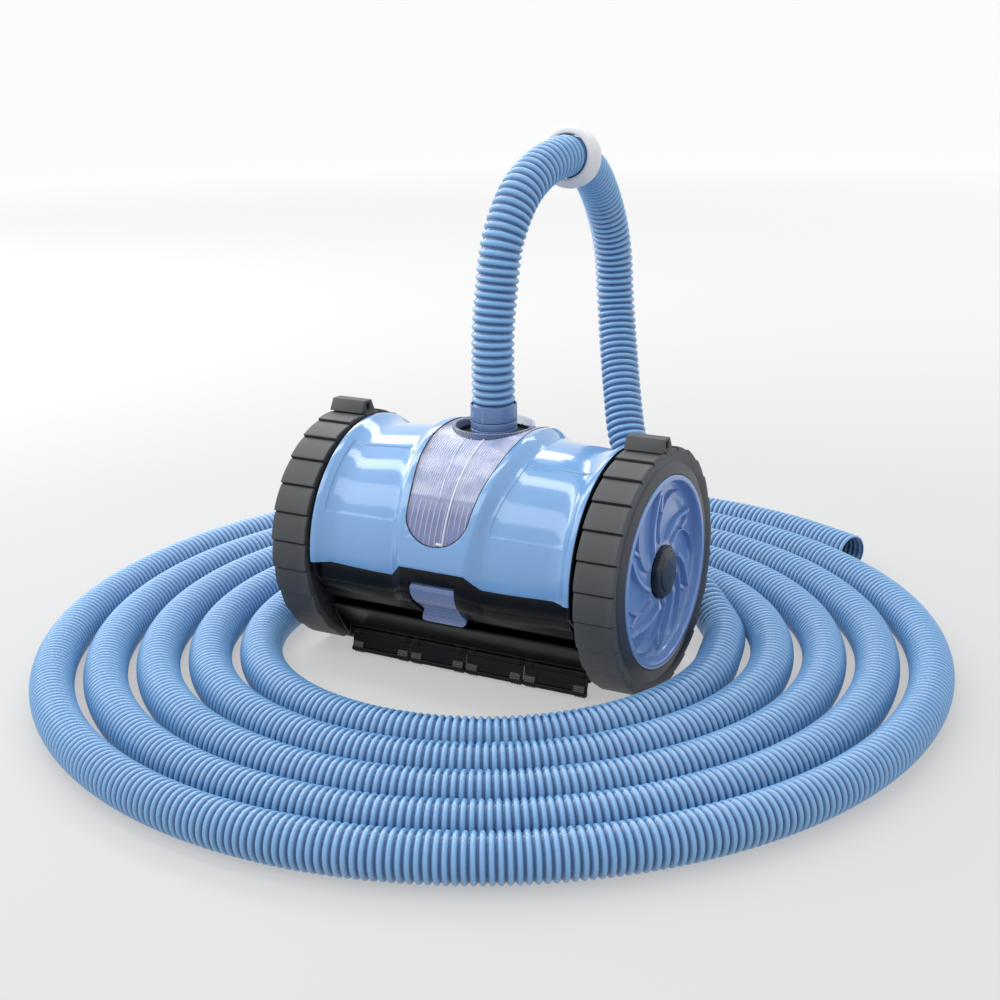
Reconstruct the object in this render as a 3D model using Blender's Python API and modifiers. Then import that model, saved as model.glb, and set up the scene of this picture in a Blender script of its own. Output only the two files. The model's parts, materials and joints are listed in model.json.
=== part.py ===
"""A suction pool cleaner and its hose, as separate pieces on their own joint axes.

Frame: +X along the wheel axle to the right wheel, -Y to the front with the latch, +Z up.
The origin is on the floor under the middle of the axle.  All sizes are in metres.
"""

import math

import bmesh
import bpy
from mathutils import Matrix, Vector

# Fits
GAP = 0.0003            # between pieces that touch
RUNNING = 0.0003        # radial clearance of a turning piece in its bearing
WALL = 0.0025           # moulded shells

# Wheels
WHEEL_R = 0.127         # to the crest of a lug
WHEEL_IN = 0.154        # inner face of the tyre, from the middle of the cleaner
WHEEL_W = 0.044
RIM_R = 0.099
RIM_STEPS = 40          # facets of the rim and of the tyre's bore, so that they line up
LUGS = 26
LUG_DEPTH = 0.0028
CLEAT_H = 0.0126
CLEAT_BASE = 0.0270
CLEAT_TOP = 0.0135
CLEAT_BORE = 0.0074
CLEAT_INSET = 0.0015    # from each side of the tyre
CLEAT_AT = {"right": 89.0, "left": 87.0}   # degrees from the rear, up over the top
CAP_R = 0.0255
CAP_PROUD = 0.0030      # of the wheel's face

# Casing: a barrel, a proud saddle round its middle and a flange at each end
AXLE_Z = WHEEL_R
BARREL_R = 0.1195
BARREL_END_R = 0.1150
SADDLE_R = 0.1300
FLANGE_R = 0.1240
FLANGE_OUT = 0.1495
FLANGE_IN = 0.1445
PANEL_END = 0.1280
COVER_LOW = -1.3        # degrees above the front horizontal, at the cover's lower edge
COVER_LOW_MID = 5.3     # the same over the latch
BROW_LOW = -18.5
BROW_LOW_MID = -12.5
EDGE_GAP = 0.25         # degrees between the cover and the chassis

# Window and outlet
WINDOW_LOW = 16.1
WINDOW_REAR = 118.0
WINDOW_HALF = 0.0485
OUTLET_Y = 0.0066
RIM_RING_R = 0.0430
RIM_RING_WALL = 0.0030
PIPE_R = 0.0190
PIPE_WALL = 0.0025
COLLAR_R = 0.0244

# Inner structure, as distances from the middle of the cleaner along X
BULKHEAD_X = 0.0500
BULKHEAD_T = 0.0030
GEAR_PLATE_X = 0.0980
GEAR_PLATE_T = 0.0040
END_PLATE_X = 0.1455
END_PLATE_T = 0.0040
END_PLATE_R = 0.1205
INNER_R = 0.1130
SHAFT_R = 0.0050
ROTOR_R = 0.0600
ROTOR_HALF = 0.0420
ROTOR_HUB_R = 0.0120
PADDLES = 6
PADDLE_HALF_T = 0.0016
BEARING_R = SHAFT_R + 0.006
TIE_Y = 0.0860
TIE_Z = AXLE_Z - 0.0270
TIE_R = 0.0025
TIE_HEAD_R = TIE_R + 0.0022
TIE_HEAD_T = 0.0020

# Gears
MODULE = 0.0018
PINION_TEETH = 10
WHEEL_TEETH = 30
GEAR_IN_X = 0.0620      # turbine pinion and the big lay gear
GEAR_IN_W = 0.0100
GEAR_OUT_X = 0.0780     # lay pinion and the axle gear
GEAR_OUT_W = 0.0120
LAY_Y = MODULE * (PINION_TEETH + WHEEL_TEETH) / 2
PIN_R = 0.0030

# Suction foot
TUB_Z = AXLE_Z - 0.0685         # underside of the chassis
THROAT_X = 0.0480
THROAT_Y = 0.0450
FOOT_HALF = 0.1448
FOOT_WALL = 0.0028
FLAP_Y = -0.0600
FLAP_Z = AXLE_Z - 0.0995
FLAP_GROUND = 0.0045            # clear height under a flap
FLAP_SEAM = 0.0680
FLAP_ROD_R = 0.0020
FLAP_KNUCKLE_R = 0.0040
FLAP_T = 0.0030
FOOT_PIN_Y = 0.0780
FOOT_PIN_Z = TUB_Z + 0.0005
FOOT_PIN_R = 0.0020
FOOT_KNUCKLE_R = 0.0045

# Latch
LATCH_HALF = 0.0258
LATCH_PIN_Y = -0.1220
LATCH_PIN_Z = AXLE_Z - 0.0105
LATCH_PIN_R = 0.0015
LATCH_TOP_R = 0.0072
LATCH_T = 0.0030

# Hose
HOSE_R = 0.0225
SPIRAL_X = 0.0113
SPIRAL_Y = -0.0047
SPIRAL_R = 0.49347              # at the open end
SPIRAL_STEP = 0.053404          # inwards for each turn
SPIRAL_START = 58.878           # degrees, at the open end
COIL_TURNS = 4.65               # of the solid that stands for the coil
SPIRAL_TURNS = 4.88             # before the hose leaves the spiral
END_GAP = 0.0024                # of a turn, between the coil solid's end and the tube
RISE = [
    (0.2300, 0.0800, 0.0225),
    (0.2235, 0.1010, 0.0226),
    (0.2125, 0.1220, 0.0240),
    (0.1860, 0.1500, 0.0330),
    (0.1470, 0.1780, 0.0560),
    (0.1070, 0.2050, 0.0920),
    (0.0700, 0.2300, 0.1360),
    (0.0392, 0.2560, 0.1838),
    (0.0190, 0.2840, 0.2315),
    (0.0050, 0.3060, 0.2692),
    (-0.0060, 0.3230, 0.3084),
    (-0.0110, 0.3290, 0.3410),
    (-0.0130, 0.3280, 0.3829),
    (-0.0135, 0.3150, 0.4232),
    (-0.0110, 0.2850, 0.4630),
    (-0.0020, 0.2370, 0.4930),
    (0.0070, 0.1750, 0.5130),
    (0.0085, 0.1380, 0.5149),
    (0.0070, 0.0960, 0.5060),
    (0.0045, 0.0580, 0.4840),
    (0.0015, 0.0290, 0.4430),
    (-0.0005, 0.0170, 0.3914),
    (-0.0008, 0.0098, 0.3520),
    (0.0000, 0.0066, 0.3150),
    (0.0000, 0.0066, 0.2900),
    (0.0000, 0.0066, 0.2680),
]
TUBE_STEP = 0.045               # between the tube's points
FLOAT_AT = (0.0070, 0.1750, 0.5130)
FLOAT_R = 0.0335
FLOAT_LENGTH = 0.0280

BLUE = ((0.17, 0.36, 0.66, 1.0), 0.30, 0.0)
HOSE_BLUE = ((0.10, 0.28, 0.55, 1.0), 0.40, 0.0)
BLACK = ((0.012, 0.013, 0.015, 1.0), 0.35, 0.0)
RUBBER = ((0.055, 0.058, 0.063, 1.0), 0.80, 0.0)
CLEAR = ((0.80, 0.84, 0.90, 1.0), 0.10, 0.0)
GREY = ((0.45, 0.50, 0.57, 1.0), 0.45, 0.0)
WHITE = ((0.80, 0.80, 0.82, 1.0), 0.40, 0.0)
ACETAL = ((0.75, 0.74, 0.70, 1.0), 0.45, 0.0)
STEEL = ((0.60, 0.60, 0.60, 1.0), 0.25, 1.0)

# Local X, Y, Z of a flat outline become world Y, Z, X
ACROSS = (math.pi / 2, 0.0, math.pi / 2)


def clear_scene():
    for obj in list(bpy.data.objects):
        bpy.data.objects.remove(obj, do_unlink=True)


def new_collection(name):
    made = bpy.data.collections.new(name)
    bpy.context.scene.collection.children.link(made)
    return made


def finish(obj, name, look):
    """Names the object and gives it a material of its own."""
    colour, roughness, metallic = look
    obj.name = name
    obj.data.name = name
    material = bpy.data.materials.new(name + "_finish")
    material.use_nodes = True
    shader = material.node_tree.nodes["Principled BSDF"]
    shader.inputs["Base Color"].default_value = colour
    shader.inputs["Roughness"].default_value = roughness
    shader.inputs["Metallic"].default_value = metallic
    material.diffuse_color = colour
    obj.data.materials.clear()
    obj.data.materials.append(material)
    return obj


def outline(outlines, x0, x1, pivot=(0.0, AXLE_Z)):
    """A flat piece: closed (y, z) outlines about a pivot, extruded from x0 to x1."""
    curve = bpy.data.curves.new("outline", "CURVE")
    curve.dimensions = "2D"
    curve.fill_mode = "BOTH"
    curve.extrude = abs(x1 - x0) / 2
    for points in outlines:
        spline = curve.splines.new("POLY")
        spline.points.add(len(points) - 1)
        for target, (y, z) in zip(spline.points, points):
            target.co = (y, z, 0.0, 1.0)
        spline.use_cyclic_u = True
    obj = bpy.data.objects.new("outline", curve)
    obj.rotation_euler = ACROSS
    obj.location = ((x0 + x1) / 2, pivot[0], pivot[1])
    PARTS.objects.link(obj)
    return obj


def meshed(obj):
    """The same curve object as a closed mesh, so that Booleans can use it."""
    bpy.context.view_layer.update()
    seen = obj.evaluated_get(bpy.context.evaluated_depsgraph_get())
    mesh = bpy.data.meshes.new_from_object(seen)
    tool = bmesh.new()
    tool.from_mesh(mesh)
    bmesh.ops.remove_doubles(tool, verts=tool.verts, dist=1e-6)
    tool.to_mesh(mesh)
    tool.free()
    made = bpy.data.objects.new(obj.name, mesh)
    made.matrix_world = obj.matrix_world.copy()
    PARTS.objects.link(made)
    bpy.data.objects.remove(obj, do_unlink=True)
    return made


def circle(radius, steps=32, centre=(0.0, 0.0)):
    turn = 2 * math.pi / steps
    return [
        (centre[0] + radius * math.cos(turn * i), centre[1] + radius * math.sin(turn * i))
        for i in range(steps)
    ]


def signed_area(points):
    pairs = zip(points, points[1:] + points[:1])
    return sum(a[0] * b[1] - b[0] * a[1] for a, b in pairs) / 2


def turned(profile, steps=32):
    """A closed (radius, height) profile, turned about local Z."""
    if signed_area(profile) > 0:
        profile = profile[::-1]
    mesh = bpy.data.meshes.new("turned")
    count = len(profile)
    edges = [(i, (i + 1) % count) for i in range(count)]
    mesh.from_pydata([(r, 0.0, h) for r, h in profile], edges, [])
    obj = bpy.data.objects.new("turned", mesh)
    screw = obj.modifiers.new("Turn", "SCREW")
    screw.axis = "Z"
    screw.steps = steps
    screw.render_steps = steps
    screw.use_merge_vertices = True
    screw.merge_threshold = 1e-6
    screw.use_smooth_shade = True
    PARTS.objects.link(obj)
    return obj


def turned_about_axle(profile, side=1, steps=32):
    """The (radius, distance from the middle) profile, turned about the wheel axle."""
    obj = turned(profile, steps)
    obj.rotation_euler = (0.0, side * math.pi / 2, 0.0)
    obj.location = (0.0, 0.0, AXLE_Z)
    return obj


def tube_profile(r_in, r_out, low, high):
    return [(r_out, high), (r_out, low), (r_in, low), (r_in, high)]


def rod(name, radius, half, y, z, look, steps=20):
    """A straight pin along X, centred on the cleaner."""
    mesh = bpy.data.meshes.new(name)
    tool = bmesh.new()
    bmesh.ops.create_cone(
        tool, cap_ends=True, segments=steps, radius1=radius, radius2=radius, depth=2 * half,
        matrix=Matrix.Rotation(math.pi / 2, 4, "Y"),
    )
    tool.to_mesh(mesh)
    tool.free()
    obj = bpy.data.objects.new(name, mesh)
    obj.location = (0.0, y, z)
    PARTS.objects.link(obj)
    return finish(obj, name, look)


def block(low, high):
    """A box between two corners."""
    mesh = bpy.data.meshes.new("block")
    tool = bmesh.new()
    bmesh.ops.create_cube(tool, size=1.0)
    size = [h - l for l, h in zip(low, high)]
    bmesh.ops.scale(tool, vec=size, verts=tool.verts)
    tool.to_mesh(mesh)
    tool.free()
    obj = bpy.data.objects.new("block", mesh)
    obj.location = [(l + h) / 2 for l, h in zip(low, high)]
    PARTS.objects.link(obj)
    return obj


def pipe_cutter(radius, x0, x1, y, z, steps=24):
    """A cylinder along X from x0 to x1, for a bore."""
    obj = rod("bore", radius, abs(x1 - x0) / 2, y, z, STEEL, steps)
    obj.location.x = (x0 + x1) / 2
    return obj


def combine(obj, other, operation):
    """A Boolean with the other object, which is then only a guide."""
    modifier = obj.modifiers.new(operation.title(), "BOOLEAN")
    modifier.operation = operation
    modifier.solver = "EXACT"
    modifier.object = other
    PARTS.objects.unlink(other)
    GUIDES.objects.link(other)
    other.hide_render = True
    other.display_type = "WIRE"


def loft(rows, closed_rows=False):
    """A surface through rows of points, each row with as many points as the next."""
    tool = bmesh.new()
    grid = [[tool.verts.new(point) for point in row] for row in rows]
    width = len(rows[0])
    across = width if closed_rows else width - 1
    for low, high in zip(grid, grid[1:]):
        for i in range(across):
            j = (i + 1) % width
            tool.faces.new((low[i], low[j], high[j], high[i]))
    if closed_rows:
        tool.faces.new(grid[0][::-1])
        tool.faces.new(grid[-1])
    bmesh.ops.recalc_face_normals(tool, faces=tool.faces)
    mesh = bpy.data.meshes.new("loft")
    tool.to_mesh(mesh)
    tool.free()
    obj = bpy.data.objects.new("loft", mesh)
    PARTS.objects.link(obj)
    return obj


def shell(rows):
    """An open surface whose faces look away from the axle, thickened inwards."""
    obj = loft(rows)
    mesh = obj.data
    face = mesh.polygons[len(mesh.polygons) // 2]
    outward = face.center - Vector((face.center.x, 0.0, AXLE_Z))
    if face.normal.dot(outward) < 0:
        mesh.flip_normals()
    solid = obj.modifiers.new("Wall", "SOLIDIFY")
    solid.thickness = WALL
    solid.offset = -1.0
    return obj


def between(value, table):
    """Straight-line reading of a table of (value, result) pairs."""
    if value <= table[0][0]:
        return table[0][1]
    for (a, low), (b, high) in zip(table, table[1:]):
        if value <= b:
            return low + (high - low) * (value - a) / (b - a)
    return table[-1][1]


def on_casing(x, radius, degrees):
    """The point at this radius, at an angle above the front horizontal."""
    angle = math.radians(degrees)
    return (x, -radius * math.cos(angle), AXLE_Z + radius * math.sin(angle))


def barrel_radius(x):
    """The barrel narrows a little towards its ends."""
    start = 0.07
    share = min(max((x - start) / (PANEL_END - start), 0.0), 1.0)
    return BARREL_R - (BARREL_R - BARREL_END_R) * share ** 1.3


def casing_columns(degrees):
    """(x, radius) pairs from the middle out to the barrel's end, at this angle."""
    seen = min(degrees, 180 - degrees)
    top = between(seen, [(8, 0.0370), (35, 0.0445), (50, 0.0485), (80, 0.0570)])
    foot = between(seen, [(31, 0.0520), (54, 0.0615), (83, 0.0695)])
    columns = [(0.0, SADDLE_R), (top / 2, SADDLE_R), (top, SADDLE_R)]
    columns += [(x, barrel_radius(x)) for x in (foot, 0.0860, 0.1080, PANEL_END)]
    return columns


def flange_columns():
    middle = (PANEL_END + FLANGE_IN) / 2
    return [
        (middle, BARREL_END_R + 0.35 * (FLANGE_R - BARREL_END_R)),
        (FLANGE_IN, FLANGE_R),
        (FLANGE_OUT, FLANGE_R),
    ]


def both_sides(columns):
    return [(-x, r) for x, r in columns[:0:-1]] + columns


def low_edge(x, radius):
    """The lower edge of the cover at the front, in degrees."""
    return COVER_LOW_MID if radius == SADDLE_R else COVER_LOW


def window_half(degrees):
    """Half of the window's width at this angle: a tongue with round ends."""
    sides = between(degrees, [(30.5, 0.0360), (42.8, 0.0390), (57.8, 0.0450), (74, WINDOW_HALF)])
    low = (30.5 - degrees) / (30.5 - WINDOW_LOW)
    high = (degrees - WINDOW_REAR + 12) / 12
    end = max(low, high, 0.0)
    return sides * math.sqrt(max(1 - end * end, 0.0))


def window_solid(grow, r_in, r_out):
    """The tongue between two radii, made larger all round by grow."""
    steps = 30
    arc = math.degrees(grow / SADDLE_R)
    rows = []
    for i in range(steps + 1):
        share = 0.5 - 0.5 * math.cos(math.pi * (i + 0.35) / (steps + 0.7))
        degrees = WINDOW_LOW + (WINDOW_REAR - WINDOW_LOW) * share
        half = window_half(degrees) + grow
        seen = degrees + arc * (2 * share - 1)
        corners = [(-half, r_in), (half, r_in), (half, r_out), (-half, r_out)]
        rows.append([on_casing(x, r, seen) for x, r in corners])
    return loft(rows, closed_rows=True)


def outlet_hole(radius):
    """A vertical cutter on the outlet's axis, above the axle."""
    tool = bmesh.new()
    bmesh.ops.create_cone(
        tool, cap_ends=True, segments=40, radius1=radius, radius2=radius, depth=0.12
    )
    mesh = bpy.data.meshes.new("outlet_hole")
    tool.to_mesh(mesh)
    tool.free()
    obj = bpy.data.objects.new("outlet_hole", mesh)
    obj.location = (0.0, OUTLET_Y, AXLE_Z + SADDLE_R)
    PARTS.objects.link(obj)
    return obj


def make_cover():
    rows = []
    steps = 18
    for i in range(steps + 1):
        share = i / steps
        columns = both_sides(casing_columns(180 * share) + flange_columns())
        row = []
        for x, radius in columns:
            low = low_edge(x, radius)
            row.append(on_casing(x, radius, low + (180 - COVER_LOW - low) * share))
        rows.append(row)
    cover = shell(rows)
    combine(cover, window_solid(GAP, SADDLE_R - 0.03, SADDLE_R + 0.02), "DIFFERENCE")
    finish(cover, "top_cover", BLUE)


def make_window():
    window = window_solid(0.0, SADDLE_R - WALL, SADDLE_R)
    combine(window, outlet_hole(RIM_RING_R + GAP), "DIFFERENCE")
    finish(window, "turbine_window", CLEAR)
    top = AXLE_Z + SADDLE_R + 0.0005
    low = AXLE_Z + SADDLE_R - 0.0130
    ring = turned(tube_profile(RIM_RING_R - RIM_RING_WALL, RIM_RING_R, low, top), 28)
    ring.location = (0.0, OUTLET_Y, 0.0)
    finish(ring, "window_rim", CLEAR)


def tub_path():
    """(y, z) points of the chassis under the brow, from the front to the rear."""
    half = [(-0.0990, TUB_Z + 0.0215), (-0.0720, TUB_Z + 0.0075), (-0.0640, TUB_Z)]
    return half + [(-y, z) for y, z in half[::-1]]


def brow_rows(rear):
    """Rows of the chassis from the cover's edge down to the brow's lower edge."""
    columns = both_sides(casing_columns(0)[:-1] + [(END_PLATE_X - GAP, BARREL_END_R)])
    rows = []
    for share in (0.0, 0.5, 1.0):
        row = []
        for x, radius in columns:
            middle = radius == SADDLE_R
            high = (COVER_LOW if rear else low_edge(x, radius)) - EDGE_GAP
            low = BROW_LOW_MID if middle else BROW_LOW
            degrees = high + (low - high) * share
            row.append(on_casing(x, radius, 180 - degrees if rear else degrees))
        rows.append(row)
    return rows


def lug(x0, x1, low, high):
    """A block on each side, from x0 to x1, over the same y and z."""
    return [
        block((min(s * x0, s * x1), low[0], low[1]), (max(s * x0, s * x1), high[0], high[1]))
        for s in (1, -1)
    ]


def make_chassis():
    front = brow_rows(False)
    rear = brow_rows(True)[::-1]
    xs = [point[0] for point in front[0]]
    rows = front + [[(x, y, z) for x in xs] for y, z in tub_path()] + rear
    obj = shell(rows)
    half = LATCH_HALF + 2 * GAP
    notch_top = LATCH_PIN_Z + LATCH_TOP_R + 4 * GAP
    combine(obj, block((-half, -0.15, 0.07), (half, -0.1010, notch_top)), "DIFFERENCE")
    throat = block((-THROAT_X, -THROAT_Y, 0.0), (THROAT_X, THROAT_Y, AXLE_Z - 0.02))
    combine(obj, throat, "DIFFERENCE")
    latch_lugs = lug(half, half + 0.004, (-0.1285, LATCH_PIN_Z - 0.005),
                     (LATCH_PIN_Y + 0.005, LATCH_PIN_Z + 0.005))
    foot_lugs = lug(0.080, 0.090, (FOOT_PIN_Y - 0.0055, FOOT_PIN_Z - 0.0045),
                    (FOOT_PIN_Y + 0.0055, TUB_Z + 0.013))
    for piece in latch_lugs + foot_lugs:
        combine(obj, piece, "UNION")
    for radius, half_bore, y, z in (
        (LATCH_PIN_R + RUNNING, 0.040, LATCH_PIN_Y, LATCH_PIN_Z),
        (FOOT_PIN_R + RUNNING, 0.100, FOOT_PIN_Y, FOOT_PIN_Z),
    ):
        combine(obj, pipe_cutter(radius, -half_bore, half_bore, y, z), "DIFFERENCE")
    finish(obj, "lower_chassis", BLACK)


def inner_outline():
    """The (y, z) outline that fits inside the cover and the chassis, about the axle."""
    count = 24
    start, end = -12.0, 192.0
    points = []
    for i in range(count + 1):
        angle = math.radians(start + (end - start) * i / count)
        points.append((-INNER_R * math.cos(angle), INNER_R * math.sin(angle)))
    inset = 0.0045
    low = [(y * (abs(y) - inset) / abs(y), z - AXLE_Z + inset) for y, z in tub_path()]
    return points + low[::-1]


def make_inner_plates():
    for side, name in ((1, "right"), (-1, "left")):
        rods = [circle(TIE_R + GAP, 16, (y, TIE_Z - AXLE_Z)) for y in (-TIE_Y, TIE_Y)]
        lay = circle(PIN_R + GAP, 16, (LAY_Y, 0.0))
        bore = circle(BEARING_R, 28)
        x0, x1 = side * BULKHEAD_X, side * (BULKHEAD_X + BULKHEAD_T)
        wall = outline([inner_outline(), bore, lay] + rods, x0, x1)
        finish(wall, name + "_bulkhead", GREY)
        x0, x1 = side * GEAR_PLATE_X, side * (GEAR_PLATE_X + GEAR_PLATE_T)
        plate = outline([inner_outline(), bore, lay] + rods, x0, x1)
        finish(plate, name + "_gear_plate", GREY)
        profile = tube_profile(SHAFT_R + RUNNING, BEARING_R - GAP,
                               BULKHEAD_X - 0.001, BULKHEAD_X + BULKHEAD_T + 0.002)
        finish(turned_about_axle(profile, side, 24), name + "_turbine_bearing", ACETAL)
        profile = tube_profile(SHAFT_R + RUNNING, BEARING_R - GAP,
                               GEAR_PLATE_X - 0.002, GEAR_PLATE_X + GEAR_PLATE_T + 0.002)
        finish(turned_about_axle(profile, side, 24), name + "_inner_bush", ACETAL)
        profile = tube_profile(SHAFT_R + RUNNING, BEARING_R - GAP,
                               END_PLATE_X - 0.003, END_PLATE_X + END_PLATE_T + 0.002)
        finish(turned_about_axle(profile, side, 24), name + "_outer_bush", ACETAL)


def make_tie_rods():
    """Two rods that clamp the stack of plates, each with a head at both ends."""
    end = END_PLATE_X + END_PLATE_T
    for y, name in ((-TIE_Y, "front_tie_rod"), (TIE_Y, "rear_tie_rod")):
        seat = end + GAP
        tip = seat + TIE_HEAD_T
        core = 0.0006           # the profile stays off the axis, where a Screw can't close it
        profile = [
            (core, tip), (TIE_HEAD_R, tip), (TIE_HEAD_R, seat), (TIE_R, seat), (TIE_R, -seat),
            (TIE_HEAD_R, -seat), (TIE_HEAD_R, -tip), (core, -tip),
        ]
        obj = turned(profile, 10)
        obj.rotation_euler = (0.0, math.pi / 2, 0.0)
        obj.location = (0.0, y, TIE_Z)
        finish(obj, name, STEEL)


def end_plate_outline():
    """A disc in the flange with a cheek that runs down beside the suction foot."""
    arc = []
    for i in range(29):
        angle = math.radians(-8.0 + 196.0 * i / 28)
        arc.append((-END_PLATE_R * math.cos(angle), END_PLATE_R * math.sin(angle)))
    cheek = [(0.0975, -0.042), (0.0934, -0.048), (0.0843, -0.073), (0.0690, -0.097),
             (0.0562, -0.109), (0.0500, -0.113)]
    return arc + cheek + [(-y, z) for y, z in cheek[::-1]]


def make_end_plates():
    for side, name in ((1, "right"), (-1, "left")):
        x0, x1 = side * END_PLATE_X, side * (END_PLATE_X + END_PLATE_T)
        rods = [circle(TIE_R + GAP, 16, (y, TIE_Z - AXLE_Z)) for y in (-TIE_Y, TIE_Y)]
        outlines = [end_plate_outline(), circle(BEARING_R, 28)] + rods
        finish(outline(outlines, x0, x1), name + "_end_plate", BLACK)


def lug_outline(cleat_degrees):
    """Saw-tooth tyre outline with a flat seat under the cleat, about the axle."""
    step = 360 / LUGS
    seat_height = cleat_seat_height()
    seat_half = math.degrees(math.atan2(CLEAT_BASE / 2 + 0.001, seat_height))
    points = []
    for k in range(LUGS):
        for share, radius in ((-0.985, WHEEL_R - LUG_DEPTH), (-0.5, WHEEL_R - 0.45 * LUG_DEPTH),
                              (0.0, WHEEL_R)):
            degrees = -90 + step * (k + share)
            off = (degrees - cleat_degrees + 180) % 360 - 180
            if abs(off) > seat_half:
                points.append((degrees % 360, radius))
    for off in (-seat_half, seat_half):
        points.append(((cleat_degrees + off) % 360, seat_height / math.cos(math.radians(off))))
    points.sort()
    return [
        (r * math.cos(math.radians(d)), r * math.sin(math.radians(d))) for d, r in points
    ]


def cleat_seat_height():
    """Distance of the cleat's flat seat from the axle."""
    return math.sqrt((WHEEL_R - 0.0002) ** 2 - (CLEAT_BASE / 2 + 0.001) ** 2)


def make_tyre(side, name):
    x0, x1 = side * WHEEL_IN, side * (WHEEL_IN + WHEEL_W)
    degrees = CLEAT_AT[name]
    outlines = [lug_outline(degrees), circle(RIM_R + GAP, RIM_STEPS)]
    finish(outline(outlines, x0, x1), name + "_tyre", RUBBER)
    seat = cleat_seat_height() + GAP
    low = CLEAT_BASE / 2
    high = CLEAT_TOP / 2
    flat = [(-low, seat), (low, seat), (high, seat + CLEAT_H), (-high, seat + CLEAT_H)]
    middle = seat + CLEAT_H / 2 - 0.0005
    half = CLEAT_BORE / 2
    hole = [(-half, middle - half), (half, middle - half), (half, middle + half),
            (-half, middle + half)]
    turn = math.radians(degrees - 90)
    cos, sin = math.cos(turn), math.sin(turn)
    shapes = [[(y * cos - z * sin, y * sin + z * cos) for y, z in ring] for ring in (flat, hole)]
    x0, x1 = side * (WHEEL_IN + CLEAT_INSET), side * (WHEEL_IN + WHEEL_W - CLEAT_INSET)
    finish(outline(shapes, x0, x1), name + "_cleat", RUBBER)


def make_hub(side, name):
    face = WHEEL_IN + WHEEL_W
    boss_end = face - 0.0120
    bore = SHAFT_R + GAP
    profile = [
        (bore, boss_end), (0.0240, boss_end), (0.0260, boss_end - 0.003),
        (0.0600, face - 0.0190), (RIM_R - 0.0110, face - 0.0190), (RIM_R - 0.0065, face + 0.0004),
        (RIM_R - 0.0045, face + 0.0013), (RIM_R - 0.0004, face + 0.0013), (RIM_R, face),
        (RIM_R, WHEEL_IN + 0.002), (RIM_R - 0.0035, WHEEL_IN + 0.002),
        (RIM_R - 0.0090, face - 0.0225), (0.0600, face - 0.0225), (0.0260, face - 0.0190),
        (0.0130, face - 0.0190), (0.0130, WHEEL_IN + 0.003), (bore, WHEEL_IN + 0.003),
    ]
    finish(turned_about_axle(profile, side, RIM_STEPS), name + "_hub", BLUE)
    corner = 0.42
    shape = [(1.0, corner), (corner, 1.0), (-corner, 1.0), (-1.0, corner),
             (-1.0, -corner), (-corner, -1.0), (corner, -1.0), (1.0, -corner)]
    points = [(CAP_R * y * 0.90, CAP_R * z * 0.98) for y, z in shape]
    cap = outline([points], side * (boss_end + GAP), side * (face + CAP_PROUD))
    finish(cap, name + "_hub_cap", BLACK)
    start = GEAR_OUT_X - 0.0010
    axle_end = boss_end - GAP
    axle = rod(name + "_axle", SHAFT_R, (axle_end - start) / 2, 0.0, AXLE_Z, STEEL, 24)
    axle.location.x = side * (axle_end + start) / 2


def gear_outline(teeth, phase):
    """Straight-sided teeth, thin enough to run with play."""
    pitch_r = MODULE * teeth / 2
    root, tip = pitch_r - 1.15 * MODULE, pitch_r + 0.85 * MODULE
    step = 2 * math.pi / teeth
    root_half = 0.66 * MODULE / root
    tip_half = 0.30 * MODULE / tip
    points = []
    for k in range(teeth):
        middle = phase + step * k
        for radius, off in ((root, -root_half), (tip, -tip_half), (tip, tip_half),
                            (root, root_half)):
            angle = middle + off
            points.append((radius * math.cos(angle), radius * math.sin(angle)))
    return points


def make_gears(side, name):
    bore = circle(SHAFT_R + GAP, 24)
    half_step = math.pi / WHEEL_TEETH
    x0, x1 = side * GEAR_IN_X, side * (GEAR_IN_X + GEAR_IN_W)
    finish(outline([gear_outline(PINION_TEETH, 0.0), bore], x0, x1),
           name + "_turbine_pinion", ACETAL)
    y0, y1 = side * GEAR_OUT_X, side * (GEAR_OUT_X + GEAR_OUT_W)
    finish(outline([gear_outline(WHEEL_TEETH, half_step), bore], y0, y1),
           name + "_axle_gear", ACETAL)
    pivot = (LAY_Y, AXLE_Z)
    lay_bore = circle(PIN_R + RUNNING, 20)
    big = meshed(outline([gear_outline(WHEEL_TEETH, half_step), lay_bore], x0, x1, pivot))
    overlap = 0.001
    hub = outline([circle(0.0062, 24), lay_bore], x1 - side * overlap, y0 + side * overlap, pivot)
    combine(big, meshed(hub), "UNION")
    small = outline([gear_outline(PINION_TEETH, 0.0), lay_bore], y0, y1, pivot)
    combine(big, meshed(small), "UNION")
    finish(big, name + "_lay_gear", ACETAL)
    inner = BULKHEAD_X + 0.0005
    outer = GEAR_PLATE_X + GEAR_PLATE_T - 0.0005
    pin = rod(name + "_lay_pin", PIN_R, (outer - inner) / 2, LAY_Y, AXLE_Z, STEEL)
    pin.location.x = side * (inner + outer) / 2


def rotor_outline():
    """Curved paddles round a hub, about the axle."""
    points = []
    for k in range(PADDLES):
        base = 2 * math.pi * k / PADDLES
        edge = []
        for i in range(7):
            share = i / 6
            radius = ROTOR_HUB_R + (ROTOR_R - ROTOR_HUB_R) * share
            edge.append((radius, base + 0.75 * share ** 1.4))
        for sign, order in ((-1, edge), (1, edge[::-1])):
            for radius, angle in order:
                off = sign * PADDLE_HALF_T / radius
                points.append((radius * math.cos(angle + off), radius * math.sin(angle + off)))
    return points


def make_turbine():
    bore = circle(SHAFT_R + GAP, 24)
    rotor = outline([rotor_outline(), bore], -ROTOR_HALF, ROTOR_HALF)
    finish(rotor, "turbine_rotor", GREY)
    rod("turbine_shaft", SHAFT_R, GEAR_IN_X + GEAR_IN_W + 0.0025, 0.0, AXLE_Z, STEEL, 24)


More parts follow.
